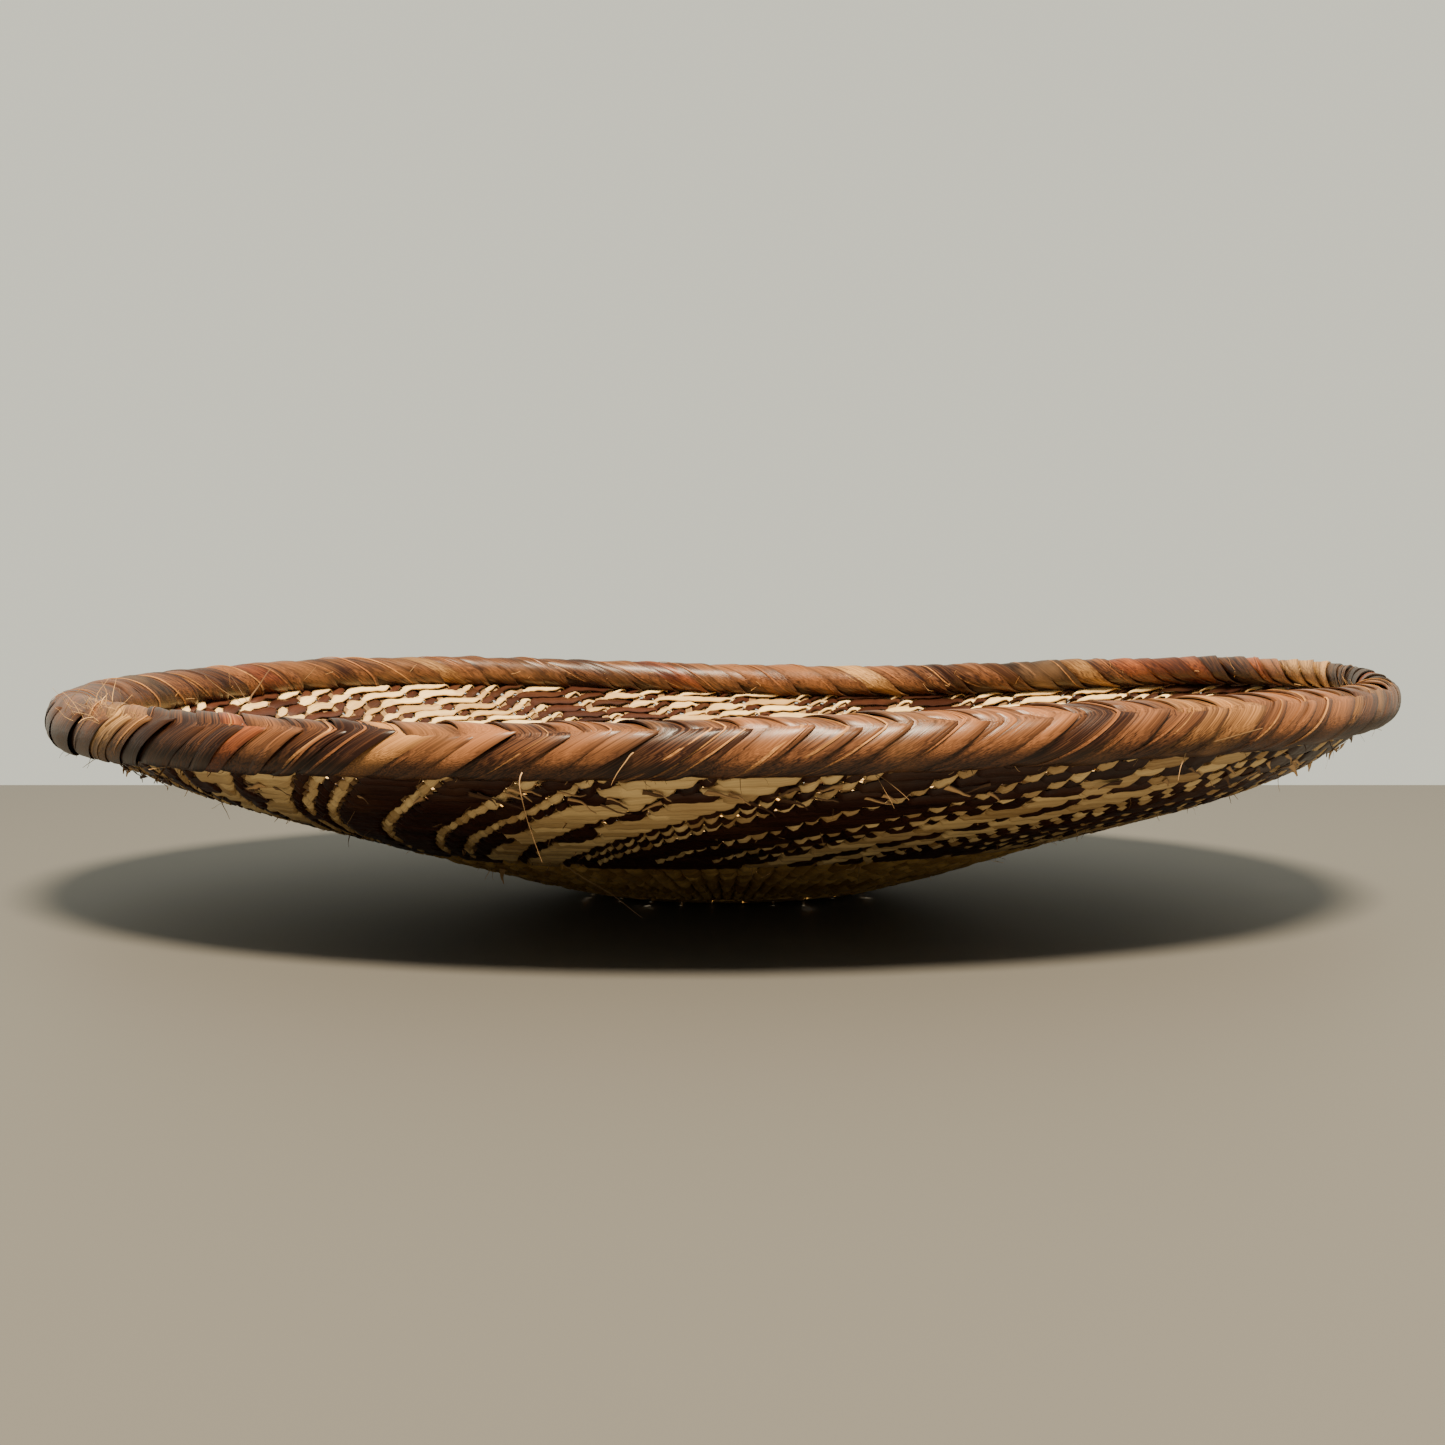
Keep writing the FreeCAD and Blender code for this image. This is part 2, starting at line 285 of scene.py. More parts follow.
# %% Helpers: sums and mixes in the group
def grain_math(kind, first, second):
    """A Math node; each of its two values is a number or another node's output."""
    node = grain_nodes.new("ShaderNodeMath")
    node.operation = kind
    for socket, value in zip(node.inputs, (first, second)):
        if isinstance(value, (int, float)):
            socket.default_value = value
        else:
            grain_links.new(value, socket)
    return node.outputs[0]


def grain_mix(factor, first, second):
    """A colour between first and second."""
    node = grain_nodes.new("ShaderNodeMix")
    node.data_type = "RGBA"
    for name, value in (("Factor", factor), ("A", first), ("B", second)):
        grain_links.new(value, node.inputs[name])
    return node.outputs["Result"]


def grain_noise(scale, detail, vector):
    """Noise of one scale, read at a place that another node gives."""
    node = grain_nodes.new("ShaderNodeTexNoise")
    node.inputs["Scale"].default_value = scale
    node.inputs["Detail"].default_value = detail
    grain_links.new(vector, node.inputs["Vector"])
    return node.outputs["Fac"]


print("helpers:", ", ".join((grain_math.__name__, grain_mix.__name__, grain_noise.__name__)))

# %% [markdown]
# The streaks are noise that is squeezed across the leaf and drawn out along it.  Each leaf's
# tone also moves the noise, so that no two leaves show the same streaks.  The blotches are
# slow noise in the basket's own space, because damp and smoke don't follow single leaves.

# %% Node group: streaks, blotches and painted shade at the edges
STREAK_ALONG = 60.0           # how fast the streaks change along a leaf, per metre
STREAK_ACROSS = 1000.0        # and across it
STREAK_TONE = 37.0            # how far one leaf's streaks are from the next leaf's
BLOTCH_SCALE = 42.0
BLOTCH_FROM, BLOTCH_FULL = 0.52, 0.72
EDGE_POWER = 3.0              # how closely the dark keeps to the edges
ROUGH_SWING = 0.30            # how much the streaks change the roughness

place = grain_nodes.new("ShaderNodeCombineXYZ")
across = grain_math("DIVIDE", given["Across"], given["Streak Width"])
for axis, value, scale in ((0, given["Along"], STREAK_ALONG), (1, across, STREAK_ACROSS),
                           (2, given["Tone"], STREAK_TONE)):
    grain_links.new(grain_math("MULTIPLY", value, scale), place.inputs[axis])
streak = grain_noise(1.0, 3.0, place.outputs[0])

where = grain_nodes.new("ShaderNodeTexCoord")
blotch = grain_nodes.new("ShaderNodeMapRange")
blotch.inputs["From Min"].default_value = BLOTCH_FROM
blotch.inputs["From Max"].default_value = BLOTCH_FULL
grain_links.new(grain_noise(BLOTCH_SCALE, 4.0, where.outputs["Object"]), blotch.inputs["Value"])

# The tone picks the leaf's own shade and the streaks play round it
spread = grain_math("MULTIPLY", grain_math("SUBTRACT", streak, 0.5), given["Streaks"])
pick = grain_nodes.new("ShaderNodeClamp")
grain_links.new(grain_math("ADD", given["Tone"], spread), pick.inputs["Value"])
shade = grain_mix(pick.outputs[0], given["Dark"], given["Light"])
stained = grain_mix(grain_math("MULTIPLY", blotch.outputs[0], given["Stain Amount"]),
                    shade, given["Stain"])

# Painted shade: each leaf is darkened along its two edges, as shade in the seams between leaves
margin = grain_math("POWER", given["Edge"], EDGE_POWER)
edge_shaded = grain_mix(grain_math("MULTIPLY", margin, given["Edge Shade"]), stained, given["Dark"])
grain_links.new(edge_shaded, result["Color"])
rough = grain_math("MULTIPLY", streak, ROUGH_SWING)
grain_links.new(grain_math("ADD", rough, given["Dullness"]), result["Roughness"])
grain_links.new(streak, result["Height"])
print("leaf grain has", len(grain_nodes), "nodes")

# %% [markdown]
# ## Leaf finishes
# The foot and the weave use pale leaf, undyed or gone olive with age, and leaf dyed nearly
# black.  The binding's five shades come later with the rim.  Copying one material and
# recolouring it would work, but a helper with named values shows at once what two finishes
# share and where they differ.

# %% Helper: one leaf material
LEAF_SPECULAR = 0.22          # dry leaf shines only a little
COAT_ROUGHNESS = 0.3
GRAIN_DEPTH = 0.3 * MM


# The edge value darkens a leaf's two edges: painted shade in the seams between leaves
def leaf_material(name, dark, light, stain, stain_amount, streak_width, streaks, dullness,
                  bump, coat=0.0, edge_shade=0.6):
    """A leaf finish: the two ends of its colour range, a stain, its grain and its dullness."""
    material = bpy.data.materials.new(name)
    material.use_nodes = True
    nodes, links = material.node_tree.nodes, material.node_tree.links
    shader = nodes["Principled BSDF"]
    grain = nodes.new("ShaderNodeGroup")
    grain.node_tree = leaf_grain
    for layer in LEAF_LAYERS:
        reader = nodes.new("ShaderNodeAttribute")
        reader.attribute_name = layer
        links.new(reader.outputs["Fac"], grain.inputs[layer.capitalize()])
    for socket, value in (("Dark", (*dark, 1.0)), ("Light", (*light, 1.0)),
                          ("Stain", (*stain, 1.0)), ("Stain Amount", stain_amount),
                          ("Streak Width", streak_width), ("Streaks", streaks),
                          ("Dullness", dullness), ("Edge Shade", edge_shade)):
        grain.inputs[socket].default_value = value
    relief = nodes.new("ShaderNodeBump")
    relief.inputs["Strength"].default_value = bump
    relief.inputs["Distance"].default_value = GRAIN_DEPTH
    links.new(grain.outputs["Height"], relief.inputs["Height"])
    links.new(grain.outputs["Color"], shader.inputs["Base Color"])
    links.new(grain.outputs["Roughness"], shader.inputs["Roughness"])
    links.new(relief.outputs["Normal"], shader.inputs["Normal"])
    shader.inputs["Specular IOR Level"].default_value = LEAF_SPECULAR
    shader.inputs["Coat Weight"].default_value = coat
    shader.inputs["Coat Roughness"].default_value = COAT_ROUGHNESS
    return material


print("the grain is %.1f mm deep" % (GRAIN_DEPTH / MM))

# %% [markdown]
# Undyed leaf is straw pale.  Near the foot it has gone olive brown.  The dye is nearly black,
# with a little red in it.  Plain black would look like a hole in the weave, so even
# the darkest leaf keeps some colour and its streaks.

# %% Finishes of the weave
undyed = leaf_material(
    "undyed_leaf", dark=(0.28, 0.155, 0.055), light=(0.93, 0.69, 0.33),
    stain=(0.30, 0.15, 0.055), stain_amount=0.40, streak_width=0.5, streaks=0.75,
    dullness=0.35, bump=0.30)
olive = leaf_material(
    "olive_leaf", dark=(0.31, 0.165, 0.044), light=(0.78, 0.50, 0.170),
    stain=(0.20, 0.085, 0.022), stain_amount=0.6, streak_width=0.4, streaks=1.1,
    dullness=0.4, bump=0.5, edge_shade=0.45)
dyed = leaf_material(
    "dyed_leaf", dark=(0.010, 0.003, 0.0015), light=(0.058, 0.019, 0.010),
    stain=(0.10, 0.045, 0.018), stain_amount=0.35, streak_width=0.5, streaks=0.9,
    dullness=0.22, bump=0.25)
rib_wood = leaf_material(
    "rib_wood", dark=(0.10, 0.05, 0.02), light=(0.30, 0.18, 0.08),
    stain=(0.08, 0.04, 0.02), stain_amount=0.4, streak_width=0.4, streaks=1.0,
    dullness=0.4, bump=0.4)
print("finishes of the weave:", undyed.name, olive.name, dyed.name, rib_wood.name)

# %% [markdown]
# ## The two-colour weave
# Two strands travel round the basket together, one pale and one dark.  At every rib one of
# them passes outside and the other inside, and between two ribs they can change places.
# So the pattern is one long row of choices, pale or dark, and each course repeats the row
# of the course below it, moved on by one rib.  That is what makes the bands wind outwards.
# Every course could have a list of its own, but a weaver remembers one row, and so does this
# script.  It is written as pairs of run lengths: so many ribs pale, then so many dark.

# %% The row of choices
PATTERN_RIBS = 240
MOTIFS = {"L": ((4, 1), (4, 1), (1, 1), (1, 4), (1, 4), (1, 2), (1, 1)),
          "S": ((4, 1), (4, 1), (1, 1), (1, 4), (1, 3), (1, 2), (1, 1))}
MOTIF_ORDER = "LSLLSLLSL"     # long and short repeats, to come out even round the basket
PATTERN_START = 140           # rib where the row starts, for course 0
PALE, DARK = 1, -1            # which strand shows on the outside

row = [colour for letter in MOTIF_ORDER for pale_run, dark_run in MOTIFS[letter]
       for colour in [PALE] * pale_run + [DARK] * dark_run]
print("pattern row covers", len(row), "of", PATTERN_RIBS, "ribs")

# %% [markdown]
# No weaver keeps the row perfectly.  A long pale stretch often starts one or two ribs late,
# and now and then a single stitch is lost, most of all in the first courses above the plain
# part.  Bands drawn from the row alone look printed, so a little luck changes each course.

# %% Which side the pale strand takes
NATURAL_COURSES = COURSES - sum(1 for name in course_nodes if "pattern" in name)
LATE_START = 0.42             # chance that a long stretch starts one rib late
LATER_START = 0.35            # and then one rib later still
LOST_STITCH = 0.02            # chance that a single stitch is lost
LOST_STITCHES = {NATURAL_COURSES + 1: 0.8, NATURAL_COURSES + 2: 0.6, NATURAL_COURSES + 3: 0.4}


def pale_sides(course, luck):
    """1 where the pale strand is outside a rib of this course, -1 where it is inside."""
    sides = [row[(rib - course - PATTERN_START) % PATTERN_RIBS] for rib in range(PATTERN_RIBS)]
    changed = list(sides)
    for rib in range(PATTERN_RIBS):
        second, third = (rib + 1) % PATTERN_RIBS, (rib + 2) % PATTERN_RIBS
        starts = sides[rib] == PALE and sides[rib - 1] == DARK
        wide = starts and sides[second] == PALE and sides[third] == PALE
        if wide and luck.random() < LATE_START:
            changed[rib] = DARK
            if luck.random() < LATER_START:
                changed[second] = DARK
        if starts and not wide and luck.random() < LOST_STITCHES.get(course, LOST_STITCH):
            changed[rib] = DARK
    return changed


print("plain courses %d, two-colour courses %d" % (NATURAL_COURSES, COURSES - NATURAL_COURSES))

# %% [markdown]
# ## One strand of a course
# A stretch of strand between two changes of side is a run.  It helps to know where each run
# starts and ends, because a strand keeps one width and one lean over a whole run, and is
# squeezed at both ends of it.  A random number for every point would make it shiver.

# %% Helpers: runs of stitches
def run_ends(sides):
    """For every rib, the ribs where its run on one side starts and ends, unwrapped."""
    count = len(sides)
    ends = []
    for rib, side in enumerate(sides):
        first, last = rib, rib
        while sides[(first - 1) % count] == side and rib - first < count:
            first -= 1
        while sides[(last + 1) % count] == side and last - rib < count:
            last += 1
        ends.append((first, last))
    return ends


def per_run(sides, luck, low, high):
    """One random number for each run, repeated for every rib in it."""
    count = len(sides)
    values = [luck.uniform(low, high) for _ in range(count)]
    return [values[first % count] for first, _ in run_ends(sides)]


print("runs in the row:", sum(row[rib] != row[rib - 1] for rib in range(len(row))))

# %% [markdown]
# A strand is widest where it lies flat over the ribs and is squeezed where it slips between
# two of them.  It comes up from under its partner as a narrow tip and goes down again with
# a full round end.  It also climbs a little on each outside stretch and sinks on each inside
# one, because the two strands twist round each other.  A plain wavy band would miss all
# this, and it is these three habits that make the stitches look like small leaning scales.

# %% Helper: lay one strand round the basket
STRAND_OUT = 0.98 * MM        # from the middle of the rib to the outer face of the strand
TWIST = 1.30 * MM             # how far a strand climbs and sinks
PINCH = (0.36, 0.58)          # share of the full width where it comes up and goes down
SWAP = 0.35                   # half the length of a change of sides, in ribs
END_TAPER = 0.42              # length of the narrowing before it goes down, in ribs
SHINGLE = 0.40 * MM           # the lower edge stands this far out, over the course below
CAMBER = 0.30 * MM            # how much both edges curl in
RUN_WIDTHS = (0.80, 1.16)     # a run's width, as a share of the strand's
RUN_TIPS = (0.7, 1.5)         # length of a run's narrow tip, in ribs
RUN_LIFTS = (-0.10 * MM, 0.28 * MM)
RUN_SKEWS = (-0.30 * MM, 0.30 * MM)
DRIFT, DRIFT_RATE = 0.45 * MM, 9.0     # how far a strand strays up and down, and how fast
PUFF, PUFF_RATE = 0.20 * MM, 1.7       # how far it strays in and out
RAGGED, RAGGED_RATE = 0.30, 60.0       # how much its width varies


def strand_layer(sides, radius, width, tones, seed, nudges, looseness=1.0, twist=TWIST,
                 pinch=PINCH):
    """The lay function of one strand of a course, for add_band.  nudges says how far each
    change of sides is moved along, in ribs, so that both strands change in the same place."""
    count = len(sides)
    tip, end = pinch
    ends = run_ends(sides)
    luck = random.Random(seed)
    widths = per_run(sides, luck, *RUN_WIDTHS)
    tips = per_run(sides, luck, *RUN_TIPS)
    lifts = per_run(sides, luck, *(lift * looseness for lift in RUN_LIFTS))
    skews = per_run(sides, luck, *(skew * looseness for skew in RUN_SKEWS))

    def lay(a, b):
        # Which rib this point belongs to, and how far it is from both ends of its run
        place = a * count
        rib = int(math.floor(place + 0.5))
        if place < rib - 0.5 + nudges[rib % count]:
            rib -= 1
        elif place >= rib + 0.5 + nudges[(rib + 1) % count]:
            rib += 1
        first, last = ends[rib % count]
        turn = rib - rib % count
        since = place - (first + turn - 0.5 + nudges[first % count])
        left = (last + turn + 0.5 + nudges[(last + 1) % count]) - place
        rib %= count
        side = sides[rib]
        # 1 on the strand's own side of the ribs, 0 halfway through a change
        height = min(smooth(since / SWAP * 0.5 + 0.5), smooth(left / SWAP * 0.5 + 0.5)) * 2.0 - 1.0
        full = min(tip + (1.0 - tip) * smooth(since / tips[rib]),
                   end + (1.0 - end) * smooth(left / END_TAPER))
        climb = side * twist * (smooth(since) - smooth(left))
        # Slow and fast noise that comes round to itself, for a hand-made look
        theta = a * TURN
        cos_t, sin_t = math.cos(theta), math.sin(theta)
        sway = Vector((cos_t * DRIFT_RATE, sin_t * DRIFT_RATE, seed * 3.7))
        fine = Vector((cos_t * RAGGED_RATE, sin_t * RAGGED_RATE, seed * 5.1))
        drift = DRIFT * noise.noise(sway) * looseness + skews[rib] * height
        half = width / 2.0 * full * widths[rib] * (1.0 + RAGGED * looseness * noise.noise(fine))
        puff = PUFF * looseness * noise.noise(fine * PUFF_RATE)
        rise = STRAND_OUT + lifts[rib] * height - SHINGLE * b - CAMBER * b * b * full
        spot = on_bowl(radius, theta, climb + drift + b * half, side * height * rise + puff)
        return spot, theta * radius, b * half, tones[rib]

    return lay


print("a strand climbs %.1f mm and a change takes %.2f ribs" % (TWIST / MM, 2.0 * SWAP))

# %% [markdown]
# Leaves are short, so a new one is spliced in every so often, and its shade is a little
# different.  One tone for a whole strand would look like cord from a reel.

# %% Helpers: splices and small shifts
SPLICE_RIBS = (18, 60)        # a leaf lasts for this many ribs


def course_nudges(count, luck, reach):
    """How far the two strands' changes of side are moved along, in ribs."""
    return [luck.uniform(-reach, reach) for _ in range(count)]


def strand_tones(sides, luck, middle=0.5, leaf_spread=0.28, stitch_spread=0.16):
    """Tone of every stitch: each leaf has its own, and its stitches differ a little."""
    tones = []
    leaf, left, stitch = middle, 0, 0.0
    for rib, side in enumerate(sides):
        if left <= 0:
            left = luck.randint(*SPLICE_RIBS)
            leaf = middle + luck.uniform(-leaf_spread, leaf_spread)
        if rib == 0 or side != sides[rib - 1]:
            stitch = luck.uniform(-stitch_spread, stitch_spread)
        left -= 1
        tones.append(min(max(leaf + stitch, 0.02), 0.98))
    return tones


print("a leaf lasts %d to %d ribs" % SPLICE_RIBS)

# %% [markdown]
# Now the upper wall.  Each course gets its two strands, pale and dark, as two pieces with a
# finish each.  One mesh with two materials would do too, but the frame keeps a colour slot
# for each strand.  The dyed leaf is softer, so it is squeezed less and fills the gaps.

# %% Weave the two-colour courses
PATTERN_WIDTH = 1.16          # strand width as a share of the space for a course
PATTERN_NUDGE = 0.14          # in ribs
DARK_PINCH = (0.55, 0.78)
MEAN_SLOPE = 0.34             # of the wall, rise over run
STEPS_PER_RIB = 4
STRAND_ROWS = 3
FIRST_RADIUS = course_radii[0] - COURSE_STEP / 2.0
FIRST_PATTERN = NATURAL_COURSES + 1
course_height = COURSE_STEP / math.cos(math.atan(MEAN_SLOPE))     # measured up the slope

# Each kind of piece has seeds of its own, so that a change to one doesn't reshuffle the rest.
# The two-colour courses use their own numbers.
SEEDS = {"plain course": 100, "plain strand": 200, "ribs": 300, "foot": 400, "rim": 500,
         "fibres": 600}


def course_radius(course):
    return FIRST_RADIUS + (course - 1) * COURSE_STEP


for course in range(FIRST_PATTERN, COURSES + 1):
    luck = random.Random(course)
    pale = pale_sides(course, luck)
    dark = [-side for side in pale]
    nudges = course_nudges(PATTERN_RIBS, luck, PATTERN_NUDGE)
    for colour, sides, finish, slot, pinch in (
            ("pale", pale, undyed, "natural_weft", PINCH),
            ("dark", dark, dyed, "dark_weft", DARK_PINCH)):
        bands = new_bands()
        seed = course * 2 + (colour == "dark")
        layer = strand_layer(sides, course_radius(course), course_height * PATTERN_WIDTH,
                             strand_tones(sides, luck), seed, nudges, pinch=pinch)
        add_band(bands, PATTERN_RIBS * STEPS_PER_RIB, STRAND_ROWS, layer, closed=True)
        finish_piece(bands, "course_%02d_%s" % (course, colour), finish, slot,
                     course_nodes[course - 1])
print("two-colour courses:", COURSES - NATURAL_COURSES)

# %% [markdown]
# ## The plain courses near the foot
# Lower down the ribs stand closer and both strands are undyed.  They change places at every
# rib, so the wall shows rows of small even grains.  A bumpy surface could pass for it from
# far off, but the helper that lays a strand is there already, and its gaps are real.

# %% Weave the plain courses
NATURAL_RIBS = 120
NATURAL_STEPS = 5             # grid steps for each rib
NATURAL_WIDTH = 1.42          # strand width as a share of the space for a course
NATURAL_NUDGE = 0.12          # in ribs
NATURAL_TWIST = 0.6 * MM
NATURAL_PINCH = (0.75, 0.85)
NATURAL_LOOSENESS = 1.3

for course in range(1, FIRST_PATTERN):
    luck = random.Random(SEEDS["plain course"] + course)
    even = [1 if (rib + course) % 2 else -1 for rib in range(NATURAL_RIBS)]
    bands = new_bands()
    nudges = course_nudges(NATURAL_RIBS, luck, NATURAL_NUDGE)
    for partner, sides in enumerate((even, [-side for side in even])):
        tones = strand_tones(sides, luck, leaf_spread=0.3, stitch_spread=0.35)
        seed = SEEDS["plain strand"] + course * 2 + partner
        layer = strand_layer(sides, course_radius(course), course_height * NATURAL_WIDTH, tones,
                             seed, nudges, NATURAL_LOOSENESS, NATURAL_TWIST, NATURAL_PINCH)
        add_band(bands, NATURAL_RIBS * NATURAL_STEPS, STRAND_ROWS, layer, closed=True)
    finish_piece(bands, "course_%02d_plain" % course, olive, "natural_weft",
                 course_nodes[course - 1])
print("plain courses:", NATURAL_COURSES)

# %% [markdown]
# ## Ribs
# Half of the ribs start at the foot and half are slipped in where the fan has opened enough.
# A rib is a thin flat splint that bends with the wall.  A cylinder along a curve would be
# too round and would show as a ridge, so a rib is one more band, thicker than a leaf.

# %% Lay the ribs
RIB_SHARE = 0.54              # rib width as a share of the space it has
RIB_WIDTH = 2.5 * MM          # and never more than this
RIB_THICKNESS = 0.8 * MM
RIB_TOP = ROLL_R + 1.0 * MM
LONG_START = FOOT_RADIUS - 1.5 * MM
ADDED_START = course_radius(NATURAL_COURSES) - COURSE_STEP
RIB_STEPS = 10
RIB_TONES = (0.2, 0.8)
RIB_QUARTERS = ("right", "back", "left", "front")


def rib_layer(theta, start, neighbours, tone):
    """The lay function of one rib; neighbours is how many ribs share the circle."""
    def lay(a, b):
        radius = start + a * (RIB_TOP - start)
        half = min(RIB_WIDTH, RIB_SHARE * TURN * radius / neighbours) / 2.0
        spot = on_bowl(radius, theta, 0.0, -RIB_THICKNESS / 2.0)
        side = Vector((-math.sin(theta), math.cos(theta), 0.0)) * (b * half)
        return spot + side, radius, b * half, tone
    return lay


for quarter, side in enumerate(RIB_QUARTERS):
    for family, start, shift in (("long", LONG_START, 0), ("added", ADDED_START, 1)):
        luck = random.Random(SEEDS["ribs"] + quarter * 2 + shift)
        bands = new_bands()
        for step in range(PATTERN_RIBS // 8):
            rib = quarter * PATTERN_RIBS // 4 - PATTERN_RIBS // 8 + step * 2 + shift
            layer = rib_layer(rib * TURN / PATTERN_RIBS, start, NATURAL_RIBS * (1 + shift),
                              luck.uniform(*RIB_TONES))
            add_band(bands, RIB_STEPS, 1, layer, thickness=RIB_THICKNESS)
        finish_piece(bands, "%s_ribs_%s_lashed" % (family, side), rib_wood, "ribs",
                     "%s_ribs_%s" % (family, side))
print("ribs:", PATTERN_RIBS)

# %% [markdown]
# ## The plaited foot
# The weaver starts with flat strips that cross over two and under two.  A checked texture on
# a disc would look flat from inside the basket.  Each strip is a band again, and its height
# follows the over-and-under of the plait.

# %% Plait the foot
FOOT_STRIPS = 11              # in each of the two directions
PLAIT_SWING = 0.45 * MM       # how far a strip rises and dips
PLAIT_LOWER = 0.35 * MM       # the plait's middle lies this far below the ribs' middle
SHORTEST_REACH = 8.0 * MM     # half the length of the shortest strip
STRIP_SHARE = 0.47            # half a strip's width as a share of the pitch
FOOT_THICKNESS = 0.5 * MM
STEPS_PER_STRIP = 4
FOOT_TONES = (0.25, 0.75)
foot_pitch = 2.0 * FOOT_RADIUS / FOOT_STRIPS


def over(first, second):
    """1 where strip `first` of one direction passes over strip `second` of the other."""
    return 1 if (first + second) % 4 < 2 else -1


def foot_layer(strip, across_y, tone):
    """The lay function of one foot strip, lengthwise or across."""
    middle = -FOOT_RADIUS + (strip + 0.5) * foot_pitch
    reach = math.sqrt(max(FOOT_RADIUS ** 2 - middle ** 2, SHORTEST_REACH ** 2))

    def lay(a, b):
        travel = (a * 2.0 - 1.0) * reach
        cell = (travel + FOOT_RADIUS) / foot_pitch - 0.5
        low_cell = math.floor(cell)
        mix = smooth((cell - low_cell - 0.25) / 0.5)
        side = -1 if across_y else 1
        swing = 0.0
        for index, weight in ((low_cell, 1.0 - mix), (low_cell + 1, mix)):
            pair = (index, strip) if across_y else (strip, index)
            swing += side * over(*pair) * weight
        width = middle + b * foot_pitch * STRIP_SHARE
        x, y = (width, travel) if across_y else (travel, width)
        height = bowl_height(math.hypot(x, y), math.atan2(y, x)) - PLAIT_LOWER + swing * PLAIT_SWING
        return Vector((x, y, height)), travel, b * foot_pitch / 2.0, tone
    return lay


for across_y, node in ((False, "base_strips_lengthwise"), (True, "base_strips_crosswise")):
    luck = random.Random(SEEDS["foot"] + across_y)
    bands = new_bands()
    for strip in range(FOOT_STRIPS):
        add_band(bands, FOOT_STRIPS * STEPS_PER_STRIP, 2,
                 foot_layer(strip, across_y, luck.uniform(*FOOT_TONES)),
                 thickness=FOOT_THICKNESS)
    finish_piece(bands, node + "_plaited", olive, "foot_strips", node)
print("foot strips:", 2 * FOOT_STRIPS)

# %% [markdown]
# ## The rim
# The edge of the wall is buried in a roll: a bent hoop with leaf bundles packed round it.
# A torus primitive could stand for it, but this roll is thicker in places and follows the
# rim's waves.  One function gives any place on or over the roll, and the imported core, the
# binding and the loose fibres all use it.

# %% Helper: places on the roll
CORE_RADIUS = 5.5 * MM
LUMP_RATE = 7.0               # about this many lumps round the basket
LUMP_FAT = 0.35 * MM          # how much a lump thickens the roll
LUMP_OUT = 0.4 * MM           # and how far it pushes the roll outwards


def on_roll(theta, phi, lift):
    """Point on the roll; phi is 0 outwards and 90 degrees on top."""
    cos_t, sin_t = math.cos(theta), math.sin(theta)
    lump = noise.noise(Vector((cos_t * LUMP_RATE, sin_t * LUMP_RATE, 1.3)))
    fat = CORE_RADIUS + LUMP_FAT * lump + waves(ROLL_FAT, theta) + lift
    radius = ROLL_R + waves(RIM_OVAL, theta) + LUMP_OUT * lump + fat * math.cos(phi)
    height = ROLL_Z + RIM_LIFT + waves(RIM_WAVES, theta) + fat * math.sin(phi)
    return Vector((radius * cos_t, radius * sin_t, height))


print("the packed roll is about %.1f mm thick" % (2.0 * CORE_RADIUS / MM))

# %% [markdown]
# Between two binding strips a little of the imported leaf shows, dark and rough.  Each bundle
# could be a piece, but nobody sees more than a sliver of them, so one lumpy ring is enough.
# It is a grid bent until its opposite sides meet, and then merged into a closed skin.

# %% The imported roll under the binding
CORE_STEPS = 240              # round the basket
CORE_ROWS = 16                # round the roll
CORE_LUMP = 0.25 * MM
CORE_RATE = 40.0

bands = new_bands()
core = bmesh.ops.create_grid(bands, x_segments=CORE_STEPS, y_segments=CORE_ROWS, size=1.0)
for vert in core["verts"]:
    theta, phi = (vert.co.x + 1.0) / 2.0 * TURN, vert.co.y * math.pi
    cos_t, sin_t = math.cos(theta), math.sin(theta)
    lump = noise.noise(Vector((cos_t * CORE_RATE, sin_t * CORE_RATE, math.sin(phi))))
    vert.co = on_roll(theta, phi, CORE_LUMP * lump)
bmesh.ops.remove_doubles(bands, verts=bands.verts[:], dist=MERGE)
packed = leaf_material(
    "packed_leaf", dark=(0.02, 0.009, 0.005), light=(0.08, 0.04, 0.02),
    stain=(0.01, 0.005, 0.003), stain_amount=0.5, streak_width=0.5, streaks=1.0,
    dullness=0.5, bump=0.6)
finish_piece(bands, "rim_roll_packed", packed, "rim_bundles", "rim_bundles_upper",
             "rim_bundles_lower", "rim_hoop")
print("packed roll:", CORE_STEPS, "steps round the basket")

# %% [markdown]
# Broad leaf strips bind the roll.  Each goes through the wall, up the outside, under its
# neighbour at the crest, over the top and down the inside, so the outside shows a row of
# arrow heads.  A screw thread or an array of one strip would give the arrow heads, but every
# one alike.  So each strip is a band of its own that runs round the roll and leans back from
# the crest on both sides.  One edge of it is lifted over its neighbour.  Its tone is darkened
# under the roll, down the inside and where it slips under its neighbour: painted shade.

# %% Helper: one leaf of a binding strip
BINDING_STRIPS = 108
STRIP_PITCH = TURN * ROLL_R / BINDING_STRIPS
CREST = math.radians(45.0)    # where a strip folds, as an angle round the roll
UNDER = math.radians(-104.0)  # where it comes out of the wall
INSIDE = math.radians(230.0)  # and where it goes in again
STRIP_OUT = 0.85 * MM         # a strip's outer face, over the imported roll
BEND = math.radians(8.0)      # how gently it turns back at the crest
CROSSING = math.radians(28.0)      # over this angle it goes from under to over its neighbour
ENTER, LEAVE = math.radians(50.0), math.radians(60.0)     # the two narrow ends
ENTER_NARROW, LEAVE_NARROW, END_SINK = 0.32, 0.45, 1.1 * MM
WANDER, CREASE, STRIP_CAMBER = 0.10, 0.30 * MM, 0.18 * MM
# Painted shade on a strip's tone: under the roll, in the seams and down the inside
BINDING_PAINTED_SHADE = {"underside": 0.72, "seam": 0.40, "inside": 0.45}
